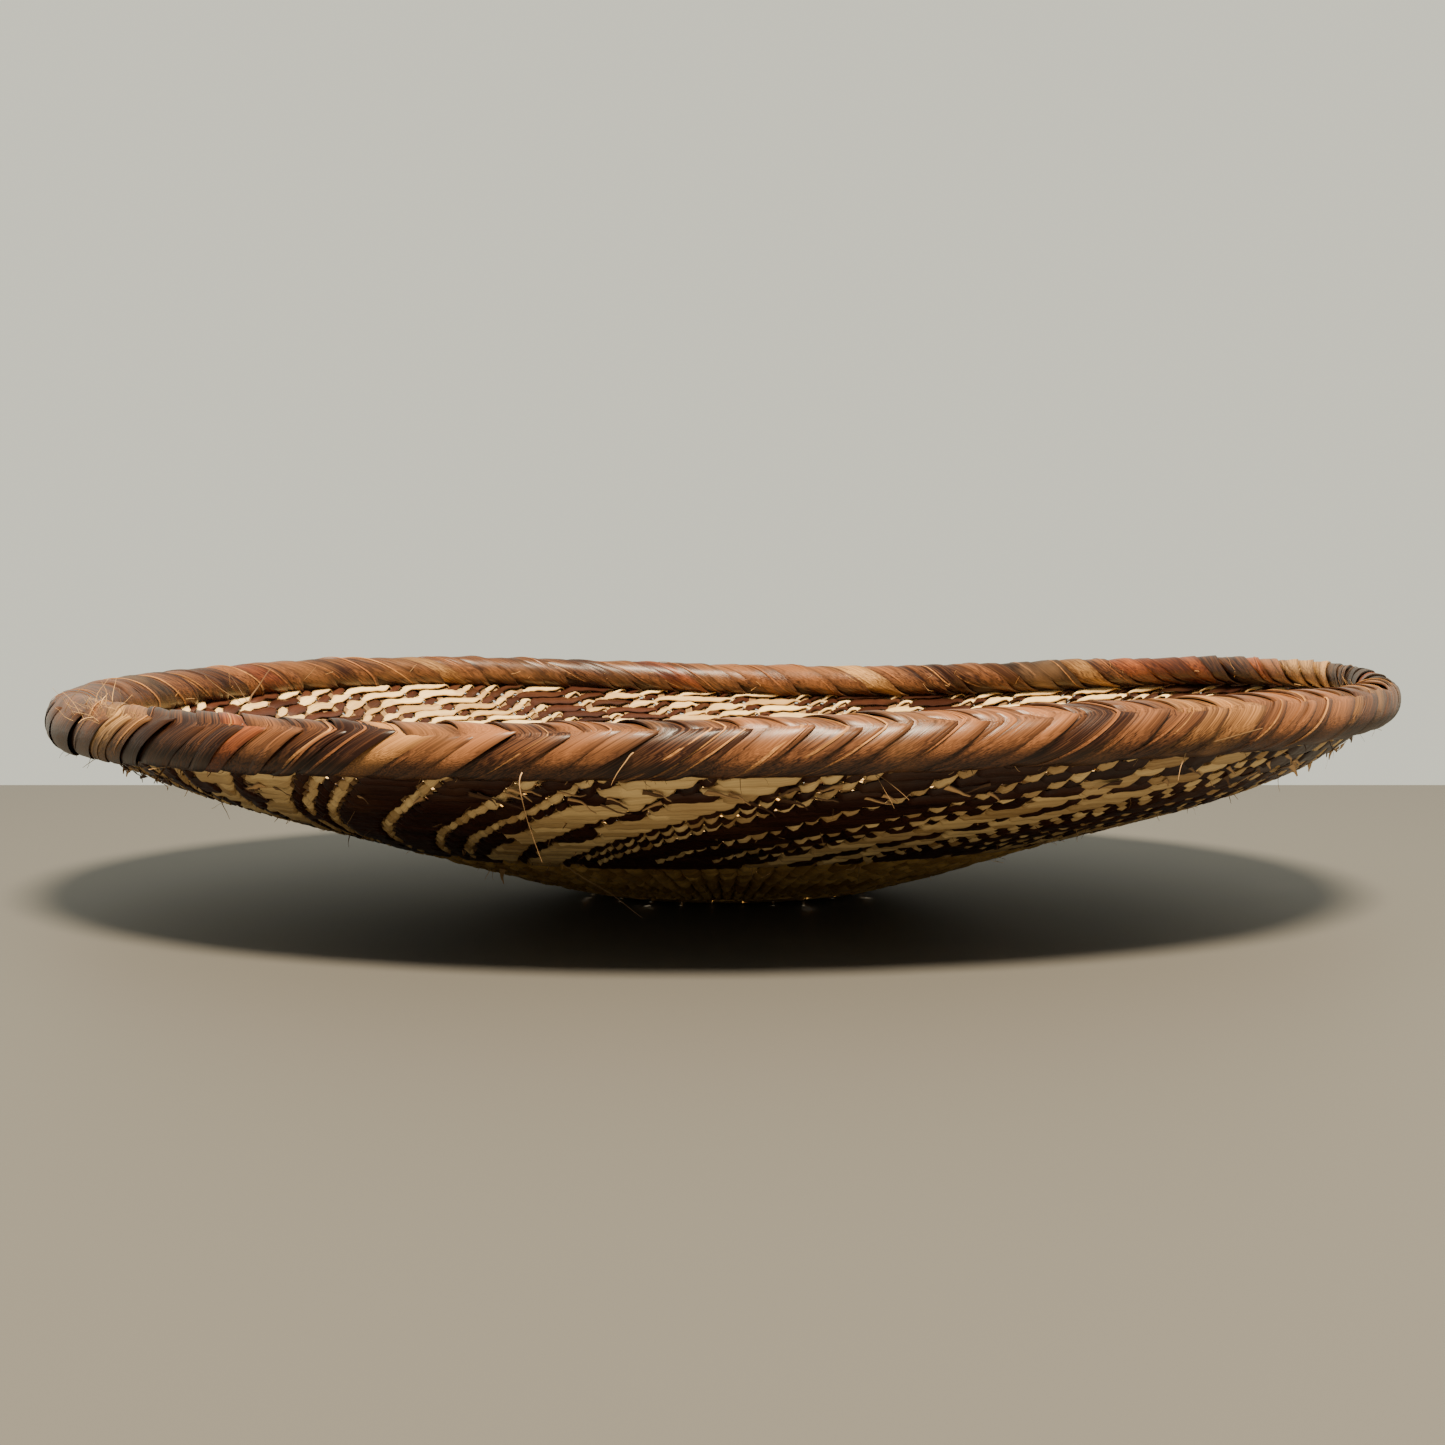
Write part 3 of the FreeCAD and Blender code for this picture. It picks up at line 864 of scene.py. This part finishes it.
UNDERSIDE_FROM, INSIDE_FROM = math.radians(8.0), math.radians(125.0)
PAINTED_SHADE_FADE = math.radians(80.0)


def binding_layer(strip, low, high, tone, lift, seed):
    """One leaf of a binding strip; low and high are its sides, from -1 to 1 over the strip."""
    def lay(a, b):
        under, fold = strip["under"], strip["fold"]
        phi = under + a * (INSIDE - under)
        if phi < fold:
            turn, reach = (fold - phi) / (fold - UNDER), strip["outside"]
        else:
            turn, reach = (phi - fold) / (INSIDE - fold), strip["inside"]
        away = abs(phi - fold)
        back = reach * turn * away / (away + BEND)
        enter, leave = smooth((phi - under) / ENTER), smooth((INSIDE - phi) / LEAVE)
        # Across the strip, and along the rim
        wander = WANDER * noise.noise(Vector((phi * 0.9, seed * 3.3, 0.0)))
        side = (low + high) / 2.0 + b * (high - low) / 2.0 + wander
        narrow = 1.0 - ENTER_NARROW * (1.0 - enter) - LEAVE_NARROW * (1.0 - leave)
        half = STRIP_PITCH * strip["cover"] / 2.0 * narrow
        theta = strip["crest"] + (side * half - back) / ROLL_R
        # Off the roll: over is -1 below the crest, 1 above it
        over = smooth((phi - fold + CROSSING / 2.0) / CROSSING) * 2.0 - 1.0
        crease = noise.noise(Vector((phi * 1.3, seed * 7.7, side * 1.5)))
        rise = -over * side * strip["edge_lift"] + lift + strip["lift"] + CREASE * crease
        rise += STRIP_CAMBER * (1.0 - b * b) - END_SINK * ((1.0 - enter) ** 2 + (1.0 - leave) ** 2)
        spot = on_roll(theta, phi, STRIP_OUT + rise)
        # Painted shade: darker under the roll, in the seam under a neighbour, and down the inside
        painted_shade = BINDING_PAINTED_SHADE["underside"] * smooth((UNDERSIDE_FROM - phi) / PAINTED_SHADE_FADE)
        painted_shade += BINDING_PAINTED_SHADE["seam"] * smooth((over * side + 0.1) / 0.8)
        painted_shade += BINDING_PAINTED_SHADE["inside"] * smooth((phi - INSIDE_FROM) / PAINTED_SHADE_FADE)
        return spot, phi * ROLL_RADIUS + seed, side * half, max(tone * (1.0 - painted_shade), 0.0)
    return lay


print("binding strips are %.1f mm apart" % (STRIP_PITCH / MM))

# %% [markdown]
# The binding is not one colour.  Most strips are chestnut brown, some are russet or tan, and
# some have gone dusty or straw yellow.  A random choice for each would scatter them evenly,
# but leaves of one shade come off the heap together.  So the places of the odd shades are
# listed, and luck only fills in the rest.

# %% Which shade each strip has
# Places are where a strip crosses the crest, in degrees round the rim
SHADES_AT = (("russet", (233.3, 152.0, 108.0, 104.5, 45.0, 41.0, 36.0, 32.0, 28.0, 188.0)),
             ("tan", (216.0, 79.0, 52.0, 13.0, 17.0, 21.0, 130.0)),
             ("ochre", (220.0, 238.0, 246.0)),
             ("taupe", (358.0, 2.0, 5.5, 9.0, 350.0, 354.0, 346.0, 342.0, 338.0, 95.0, 174.0)))
OCHRE_ZONES = ((294.0, 330.0, 0.40), (95.0, 132.0, 0.2), (60.0, 72.0, 0.5))
SMOKED_ZONES = ((28.0, 76.0), (98.0, 208.0), (222.0, 236.0), (240.0, 244.0), (262.0, 272.0),
                (334.0, 359.9), (0.0, 11.0))
OTHER_SHADES = {"chestnut": 0.90, "russet": 0.04, "tan": 0.02, "taupe": 0.04}
STRIP_SLOTS = {"chestnut": "chestnut", "russet": "russet", "tan": "tan", "taupe": "chestnut",
               "ochre": "tan"}


def shade_of(degrees, luck):
    """The shade of the strip that crosses the crest at this place."""
    near = 360.0 / BINDING_STRIPS / 2.0
    for name, places in SHADES_AT:
        if any(abs((degrees - place + 180.0) % 360.0 - 180.0) < near for place in places):
            return name
    for start, end, chance in OCHRE_ZONES:
        if start < degrees < end and luck.random() < chance:
            return "ochre"
    return luck.choices(tuple(OTHER_SHADES), tuple(OTHER_SHADES.values()))[0]


print("shades:", ", ".join(STRIP_SLOTS))

# %% [markdown]
# Every strip is made of one to three leaves side by side, and now and then a pale sliver has
# split off an edge.  In one place the leaves are twice as broad, so every other strip is
# left out there.  All strips of a shade share one mesh, which keeps the pieces few.

# %% Bind the rim
LEAN_OUTSIDE = 28.0 * MM      # how far a strip leans back along the rim, down the outside
LEAN_INSIDE = 32.0 * MM       # and down the inside
STRIP_COVER = 1.36            # strip width as a share of the pitch
EDGE_LIFT = 0.50 * MM
BINDING_THICKNESS = 0.40 * MM
STEPS_ROUND = 40
LEAF_OVERLAP = 0.04           # two leaves of a strip lie over each other by this share
BROAD_ZONE = (183.0, 211.0)   # in degrees; here the leaves are broad and lie flatter
BROAD_COVER, BROAD_LIFT = 1.85, 0.55
SLIVER_KEEPS_SHADE = 0.6      # the other slivers are ochre

# How far luck may change a strip; shifts are shares of the pitch, degrees or millimetres
CREST_SHIFT, FOLD_SPREAD, UNDER_SHIFT, LIFT_SHIFT = 0.20, 4.0, 12.0, 0.12
COVER_RANGE, EDGE_RANGE, LEAN_RANGE = (0.88, 1.16), (0.75, 1.25), (0.85, 1.12)
TONES, SMOKED_TONES, SLIVER_TONES, LEAF_TONE = (0.2, 0.75), (0.0, 0.35), (0.6, 0.95), 0.2
SLIVER_WIDTH, SLIVER_LIFT = (0.03, 0.12), (0.20, 0.40)
LEAVES, SLIVERS = (1, 1, 2, 2, 3), (0, 1, 1, 2)
GRAIN_SPREAD = 9.0            # sets one leaf's creases and grain apart from another's

luck = random.Random(SEEDS["rim"])
binding = {shade: new_bands() for shade in STRIP_SLOTS}
strips_laid = 0
for number in range(BINDING_STRIPS):
    broad = BROAD_ZONE[0] < number * 360.0 / BINDING_STRIPS < BROAD_ZONE[1]
    if broad and number % 2:
        continue
    strips_laid += 1
    strip = {"crest": (number + luck.uniform(-CREST_SHIFT, CREST_SHIFT)) * TURN / BINDING_STRIPS,
             "fold": CREST + math.radians(luck.gauss(0.0, FOLD_SPREAD)),
             "under": UNDER + math.radians(luck.uniform(-UNDER_SHIFT, UNDER_SHIFT)),
             "cover": STRIP_COVER * luck.uniform(*COVER_RANGE) * (BROAD_COVER if broad else 1.0),
             "edge_lift": EDGE_LIFT * (BROAD_LIFT if broad else luck.uniform(*EDGE_RANGE)),
             "outside": LEAN_OUTSIDE * luck.uniform(*LEAN_RANGE),
             "inside": LEAN_INSIDE * luck.uniform(*LEAN_RANGE),
             "lift": luck.uniform(-LIFT_SHIFT, LIFT_SHIFT) * MM}
    crest_degrees = math.degrees(strip["crest"])
    shade = shade_of(crest_degrees, luck)
    leaves = luck.choice(LEAVES)
    cuts = sorted([-1.0, 1.0] + [luck.uniform(-0.7, 0.7) for _ in range(leaves - 1)])
    tone = luck.uniform(*TONES)
    if any(start < crest_degrees < end for start, end in SMOKED_ZONES):
        tone = luck.uniform(*SMOKED_TONES)
    for low, high in zip(cuts, cuts[1:]):
        layer = binding_layer(strip, low - LEAF_OVERLAP, high + LEAF_OVERLAP,
                              tone + luck.uniform(-LEAF_TONE, LEAF_TONE),
                              luck.uniform(-LIFT_SHIFT, LIFT_SHIFT) * MM,
                              luck.random() * GRAIN_SPREAD)
        add_band(binding[shade], STEPS_ROUND, 3, layer, thickness=BINDING_THICKNESS)
    for _ in range(luck.choice(SLIVERS)):
        edge = luck.uniform(-0.9, 0.9)
        layer = binding_layer(strip, edge, edge + luck.uniform(*SLIVER_WIDTH),
                              luck.uniform(*SLIVER_TONES), luck.uniform(*SLIVER_LIFT) * MM,
                              luck.random() * GRAIN_SPREAD)
        sliver = shade if luck.random() < SLIVER_KEEPS_SHADE else "ochre"
        add_band(binding[sliver], STEPS_ROUND, 1, layer, thickness=BINDING_THICKNESS / 2.0)
print("binding strips laid:", strips_laid)

# %% [markdown]
# The five finishes are the same leaf, aged and handled in five ways.  Hands polish a rim,
# so these get a thin coat, which shines over the dull grain.  Lower roughness alone would
# make the whole leaf look wet.

# %% Finish the binding
BINDING_FINISH = {
    "chestnut": leaf_material(
        "chestnut_leaf", dark=(0.012, 0.003, 0.001), light=(0.245, 0.096, 0.035),
        stain=(0.24, 0.115, 0.040), stain_amount=0.22, streak_width=0.6, streaks=1.5,
        dullness=0.24, bump=0.45, coat=0.13),
    "russet": leaf_material(
        "russet_leaf", dark=(0.028, 0.005, 0.0015), light=(0.330, 0.094, 0.028),
        stain=(0.04, 0.015, 0.007), stain_amount=0.5, streak_width=0.6, streaks=1.5,
        dullness=0.26, bump=0.45, coat=0.12),
    "tan": leaf_material(
        "tan_leaf", dark=(0.048, 0.017, 0.004), light=(0.560, 0.310, 0.115),
        stain=(0.06, 0.022, 0.007), stain_amount=0.9, streak_width=0.6, streaks=1.6,
        dullness=0.30, bump=0.5, coat=0.08),
    "ochre": leaf_material(
        "ochre_leaf", dark=(0.026, 0.008, 0.002), light=(0.380, 0.175, 0.058),
        stain=(0.38, 0.19, 0.07), stain_amount=0.4, streak_width=0.6, streaks=1.6,
        dullness=0.28, bump=0.5, coat=0.10),
    "taupe": leaf_material(
        "taupe_leaf", dark=(0.012, 0.005, 0.002), light=(0.155, 0.080, 0.040),
        stain=(0.20, 0.11, 0.05), stain_amount=0.3, streak_width=0.6, streaks=1.5,
        dullness=0.30, bump=0.5, coat=0.08)}
for shade, bands in binding.items():
    finish_piece(bands, "rim_strips_" + shade, BINDING_FINISH[shade],
                 "binding_" + STRIP_SLOTS[shade], "rim_binding_" + STRIP_SLOTS[shade])
print("binding finishes:", len(BINDING_FINISH))

# %% [markdown]
# ## Loose fibres
# Leaf frays.  Thin splinters stand out under the rim, where the strips go through the wall,
# and along the weave.  Hair curves would be quick to scatter, but they have no mesh to hand
# on.  Each splinter is a short narrow band that tapers to a point, so it exports like the
# rest.  The few long ones that catch the eye are listed one by one.

# %% The long fibres
FIBRE_TAPER = 0.85            # share of the width that is gone at the tip
FIBRE_CURL = 0.18             # how far a splinter wanders, as a share of its length
FIBRE_SPREAD = 50.0           # sets one splinter's curl apart from another's
LONG_STEPS, SHORT_STEPS = 12, 5
LONG_THICKNESS = 0.15 * MM


def fibre_layer(base, heading, droop, width, tone, seed, flat=None):
    """A splinter from base along heading, bending by droop and wandering a little.
    Its width lies along flat."""
    flat = flat or heading.cross(Vector((0.3, 0.2, 1.0))).normalized()

    def lay(a, b):
        curl = noise.noise_vector(Vector((a * 2.0, seed, 0.0))) * heading.length * FIBRE_CURL * a
        spot = base + heading * a + droop * a * a + curl
        half = width / 2.0 * (1.0 - FIBRE_TAPER * a)
        return spot + flat * (half * b), a * heading.length, half * b, tone
    return lay


# Base, way and bend in millimetres, then width
LONG_FIBRES = (((-48, -193, 50), (-4, -8, -8), (9, 14, -14), 0.28),
               ((-43, -128, 22), (10, -8, -8), (10, 2, -4), 0.25),
               ((-22, -198, 55), (-3, -2, -2), (-2, 1, -5), 0.55),
               ((34, -190, 49.5), (6, -3, -3), (2, 1, -3), 0.60),
               ((34, -190, 49.5), (3, -3, -5), (1, 0, -2), 0.45),
               ((-147, -113, 47), (-2, -3, -4), (-1, 0, -1), 0.90),
               ((-141, -80, 37), (3, -3, -6), (2, 0, -2), 0.70),
               ((-119, -150, 64), (-3, 2, 5), (-4, 0, 4), 0.45),
               ((-119, -150, 64), (2, 2, 7), (3, 1, 2), 0.40),
               ((-121, -149, 64), (-6, 0, 4), (-3, 0, 3), 0.40),
               ((-180, -86, 58), (-5, -4, 3), (14, -8, 6), 0.45),
               ((-62, -80, 15), (-1, -2, -3), (1, 0, -1), 1.60),
               ((118, -158, 55), (4, -6, 1), (9, 4, 2), 0.40),
               ((112, -160, 54), (-1, -4, -4), (-2, 0, -4), 0.40))

noise.seed_set(SEEDS["fibres"])    # without it, noise_vector starts from the clock
luck = random.Random(SEEDS["fibres"])
bands = new_bands()
for base, way, bend, width in LONG_FIBRES:
    layer = fibre_layer(Vector(base) * MM, Vector(way) * MM, Vector(bend) * MM, width * MM,
                        luck.uniform(0.1, 0.5), luck.random() * FIBRE_SPREAD)
    add_band(bands, LONG_STEPS, 1, layer, thickness=LONG_THICKNESS)
print("long fibres:", len(LONG_FIBRES))

# %% [markdown]
# The short splinters come from four places: under the roll, inside it, all over the outer
# wall, and one frayed patch on top of the rim.  A table says how many there are in each and
# how long they grow.  The loops then scatter them with a fixed seed, because free luck would
# give another basket on each run.

# %% The short splinters
FRAY_FROM = FOOT_RADIUS + 20.0 * MM    # nearer the foot a splinter would touch the table
FRAYED_PATCH = (212.0, 2.5)            # middle and spread, in degrees round the rim
FRAY_THICKNESS = 0.10 * MM
FRAY_WIDTHS = (0.15, 0.45)             # in millimetres


def under_roll():
    theta = luck.uniform(0.0, TURN)
    return theta, on_roll(theta, math.radians(luck.uniform(-112.0, -80.0)), 0.6 * MM)


def inside_roll():
    theta = luck.uniform(0.0, TURN)
    return theta, on_roll(theta, math.radians(luck.uniform(165.0, 215.0)), 0.4 * MM)


def on_wall():
    theta = luck.uniform(0.0, TURN)
    radius = FRAY_FROM + (ROLL_R - FRAY_FROM) * luck.random() ** 0.7
    return theta, on_bowl(radius, theta, 0.0, STRAND_OUT)


def on_patch():
    theta = math.radians(luck.gauss(*FRAYED_PATCH))
    return theta, on_roll(theta, math.radians(luck.uniform(20.0, 80.0)), 1.1 * MM)


def fray(spot, outwards, lengths, tone):
    """One short splinter that leaves the surface at spot, roughly outwards."""
    way = Vector([part + luck.uniform(-0.8, 0.8) for part in outwards]).normalized()
    reach = luck.uniform(*lengths) * MM
    bend = Vector([luck.uniform(-0.5, 0.5) for _ in range(3)]) * reach
    layer = fibre_layer(spot, way * reach, bend, luck.uniform(*FRAY_WIDTHS) * MM, tone,
                        luck.random() * FIBRE_SPREAD)
    add_band(bands, SHORT_STEPS, 1, layer, thickness=FRAY_THICKNESS)


# Where, how many, which way (out and up), lengths in millimetres, and tones
FRAYS = ((under_roll, 170, (0.8, -0.7), (1.5, 5.0), (0.0, 0.9)),
         (inside_roll, 90, (-0.6, 0.7), (1.5, 6.0), (0.4, 1.0)),
         (on_wall, 260, (0.6, -0.8), (1.0, 4.0), (0.0, 1.0)),
         (on_patch, 40, (0.4, 0.8), (2.0, 7.0), (0.6, 1.0)))
for find_spot, count, (out, up), lengths, tones in FRAYS:
    for _ in range(count):
        theta, spot = find_spot()
        fray(spot, (out * math.cos(theta), out * math.sin(theta), up), lengths,
             luck.uniform(*tones))
print("short splinters:", sum(fray_row[1] for fray_row in FRAYS))

# %% [markdown]
# Under the roll the strands of the last courses end, and their tips were tucked in.  Some
# have worked loose and lie flat against the wall, wider than a splinter.  They could be cut
# from the last course's own band, but small bands of their own can point any way.

# %% The loose leaf ends
FLAKES = 150
FLAKE_RADIUS = 182.0 * MM
FLAKE_OUT = STRAND_OUT + 0.45 * MM     # just clear of the weave
FLAKE_THICKNESS = 0.20 * MM
FLAKE_LENGTHS, FLAKE_WIDTHS = (3.0, 8.0), (0.8, 2.6)     # in millimetres
FLAKE_DARK, FLAKE_LIGHT = (0.0, 0.25), (0.6, 1.0)        # tones

for _ in range(FLAKES):
    theta = luck.uniform(0.0, TURN)
    cos_a, sin_a = bowl_slope(FLAKE_RADIUS, theta)
    outwards = Vector((math.cos(theta), math.sin(theta), 0.0))
    up_slope = outwards * cos_a + Vector((0.0, 0.0, sin_a))
    off_wall = outwards * sin_a - Vector((0.0, 0.0, cos_a))
    along_rim = Vector((-math.sin(theta), math.cos(theta), 0.0)) * luck.choice((-1.0, 1.0, 1.0))
    spot = on_bowl(FLAKE_RADIUS + luck.uniform(-5.0, 3.0) * MM, theta, 0.0, FLAKE_OUT)
    way = (along_rim - up_slope * luck.uniform(0.1, 0.7)) * luck.uniform(*FLAKE_LENGTHS) * MM
    bend = off_wall * luck.uniform(0.2, 1.6) * MM
    flat = (up_slope + along_rim * luck.uniform(0.1, 0.5)).normalized()
    layer = fibre_layer(spot, way, bend, luck.uniform(*FLAKE_WIDTHS) * MM,
                        luck.choice((luck.uniform(*FLAKE_DARK), luck.uniform(*FLAKE_LIGHT))),
                        luck.random() * FIBRE_SPREAD, flat)
    add_band(bands, SHORT_STEPS, 2, layer, thickness=FLAKE_THICKNESS)
frayed = leaf_material(
    "frayed_leaf", dark=(0.05, 0.02, 0.01), light=(0.62, 0.38, 0.17),
    stain=(0.1, 0.05, 0.02), stain_amount=0.2, streak_width=0.4, streaks=0.4,
    dullness=0.35, bump=0.2)
finish_piece(bands, "stray_fibres", frayed, "binding_tan")
print("loose leaf ends:", FLAKES)

# %% [markdown]
# ## The table
# The basket stands on a plain pale table with a straight back edge.  A floor without end
# would hide the edge, but the edge gives the eye a level to judge the basket's waves by.
# The top lies a hair under the foot, so that the two faces never flicker.

# %% Table
TABLE_BACK = 0.412            # from the basket's axis to the back edge
TABLE_HALF = (2.0, 1.2)       # half its width and half its depth
TABLE_BELOW = 0.1 * MM
TABLE_COLOUR = (0.073, 0.070, 0.063, 1.0)
TABLE_ROUGHNESS = 0.55

table = bmesh.new()
bmesh.ops.create_grid(table, x_segments=1, y_segments=1, size=1.0)
bmesh.ops.scale(table, vec=(*TABLE_HALF, 1.0), verts=table.verts)
bmesh.ops.translate(table, vec=(0.0, TABLE_BACK - TABLE_HALF[1], -TABLE_BELOW),
                    verts=table.verts)
mesh = bpy.data.meshes.new("table_top")
table.to_mesh(mesh)
table.free()
table_top = bpy.data.objects.new("table_top", mesh)
bpy.context.collection.objects.link(table_top)
paint = bpy.data.materials.new("table_paint")
paint.use_nodes = True
paint_shader = paint.node_tree.nodes["Principled BSDF"]
paint_shader.inputs["Base Color"].default_value = TABLE_COLOUR
paint_shader.inputs["Roughness"].default_value = TABLE_ROUGHNESS
mesh.materials.append(paint)
print("table: %.1f by %.1f m" % (2.0 * TABLE_HALF[0], 2.0 * TABLE_HALF[1]))

# %% [markdown]
# ## Room and lamp
# The room is a pale wall that is brighter behind the basket than behind the viewer, and it
# fills the shadows.  A modelled wall would need lamps of its own, so the world's colour
# stands for it.  One big soft lamp, warm, above and in front, draws the shadow under the rim.

# %% Room and lamp
ROOM_COLOUR = (0.735, 0.720, 0.590, 1.0)
ROOM_RAMP = {"From Min": -0.6, "From Max": 0.9, "To Min": 0.56, "To Max": 1.22}
LAMP_PLACE = (0.34, -1.30, 2.40)
LAMP_SIZE = 0.90
LAMP_POWER = 405.0
LAMP_COLOUR = (1.0, 0.84, 0.61)

world = bpy.data.worlds.new("room")
world.use_nodes = True
sky = world.node_tree
sky.nodes["Background"].inputs["Color"].default_value = ROOM_COLOUR
facing = sky.nodes.new("ShaderNodeTexCoord")
parts = sky.nodes.new("ShaderNodeSeparateXYZ")
sky.links.new(facing.outputs["Generated"], parts.inputs[0])
dimmer = sky.nodes.new("ShaderNodeMapRange")
for socket, value in ROOM_RAMP.items():
    dimmer.inputs[socket].default_value = value
sky.links.new(parts.outputs["Y"], dimmer.inputs["Value"])
sky.links.new(dimmer.outputs[0], sky.nodes["Background"].inputs["Strength"])
bpy.context.scene.world = world

lamp = bpy.data.lights.new("key", "AREA")
lamp.shape = "DISK"
lamp.size = LAMP_SIZE
lamp.energy = LAMP_POWER
lamp.color = LAMP_COLOUR
holder = bpy.data.objects.new("key", lamp)
holder.location = LAMP_PLACE
holder.rotation_euler = (-Vector(LAMP_PLACE)).to_track_quat("-Z", "Y").to_euler()
bpy.context.collection.objects.link(holder)
print("lamp: %.0f W, %.2f m across" % (LAMP_POWER, LAMP_SIZE))

# %% [markdown]
# ## Camera
# The eye is only a little higher than the rim, so that the outer wall shows in full and the
# inside as a narrow ellipse.  A shift of the lens could raise the basket in the frame, but
# tipping the camera down a few degrees does it and stays true from other sides.

# %% Camera
CAMERA_PLACE = (-1.5 * MM, -0.800, 0.0944)
CAMERA_PITCH = 0.054          # downwards, in radians
SENSOR = 36.0
LENS = 65.37

camera_data = bpy.data.cameras.new("camera")
camera_data.sensor_width = SENSOR
camera_data.lens = LENS
camera = bpy.data.objects.new("camera", camera_data)
camera.location = CAMERA_PLACE
camera.rotation_euler = (math.pi / 2.0 - CAMERA_PITCH, 0.0, 0.0)
bpy.context.collection.objects.link(camera)
bpy.context.scene.camera = camera
print("camera %.0f mm above the table, %.2f mm lens" % (CAMERA_PLACE[2] / MM, LENS))

# %% [markdown]
# ## The frame's box
# The woven model should fill the same box as the frame, give or take the rim's waves and the
# loose fibres.  The frame's box is printed at the end.

# %% Print the frame's box
print("cad box", [round(v / MM, 1) for v in (*cad_low, *cad_high)])
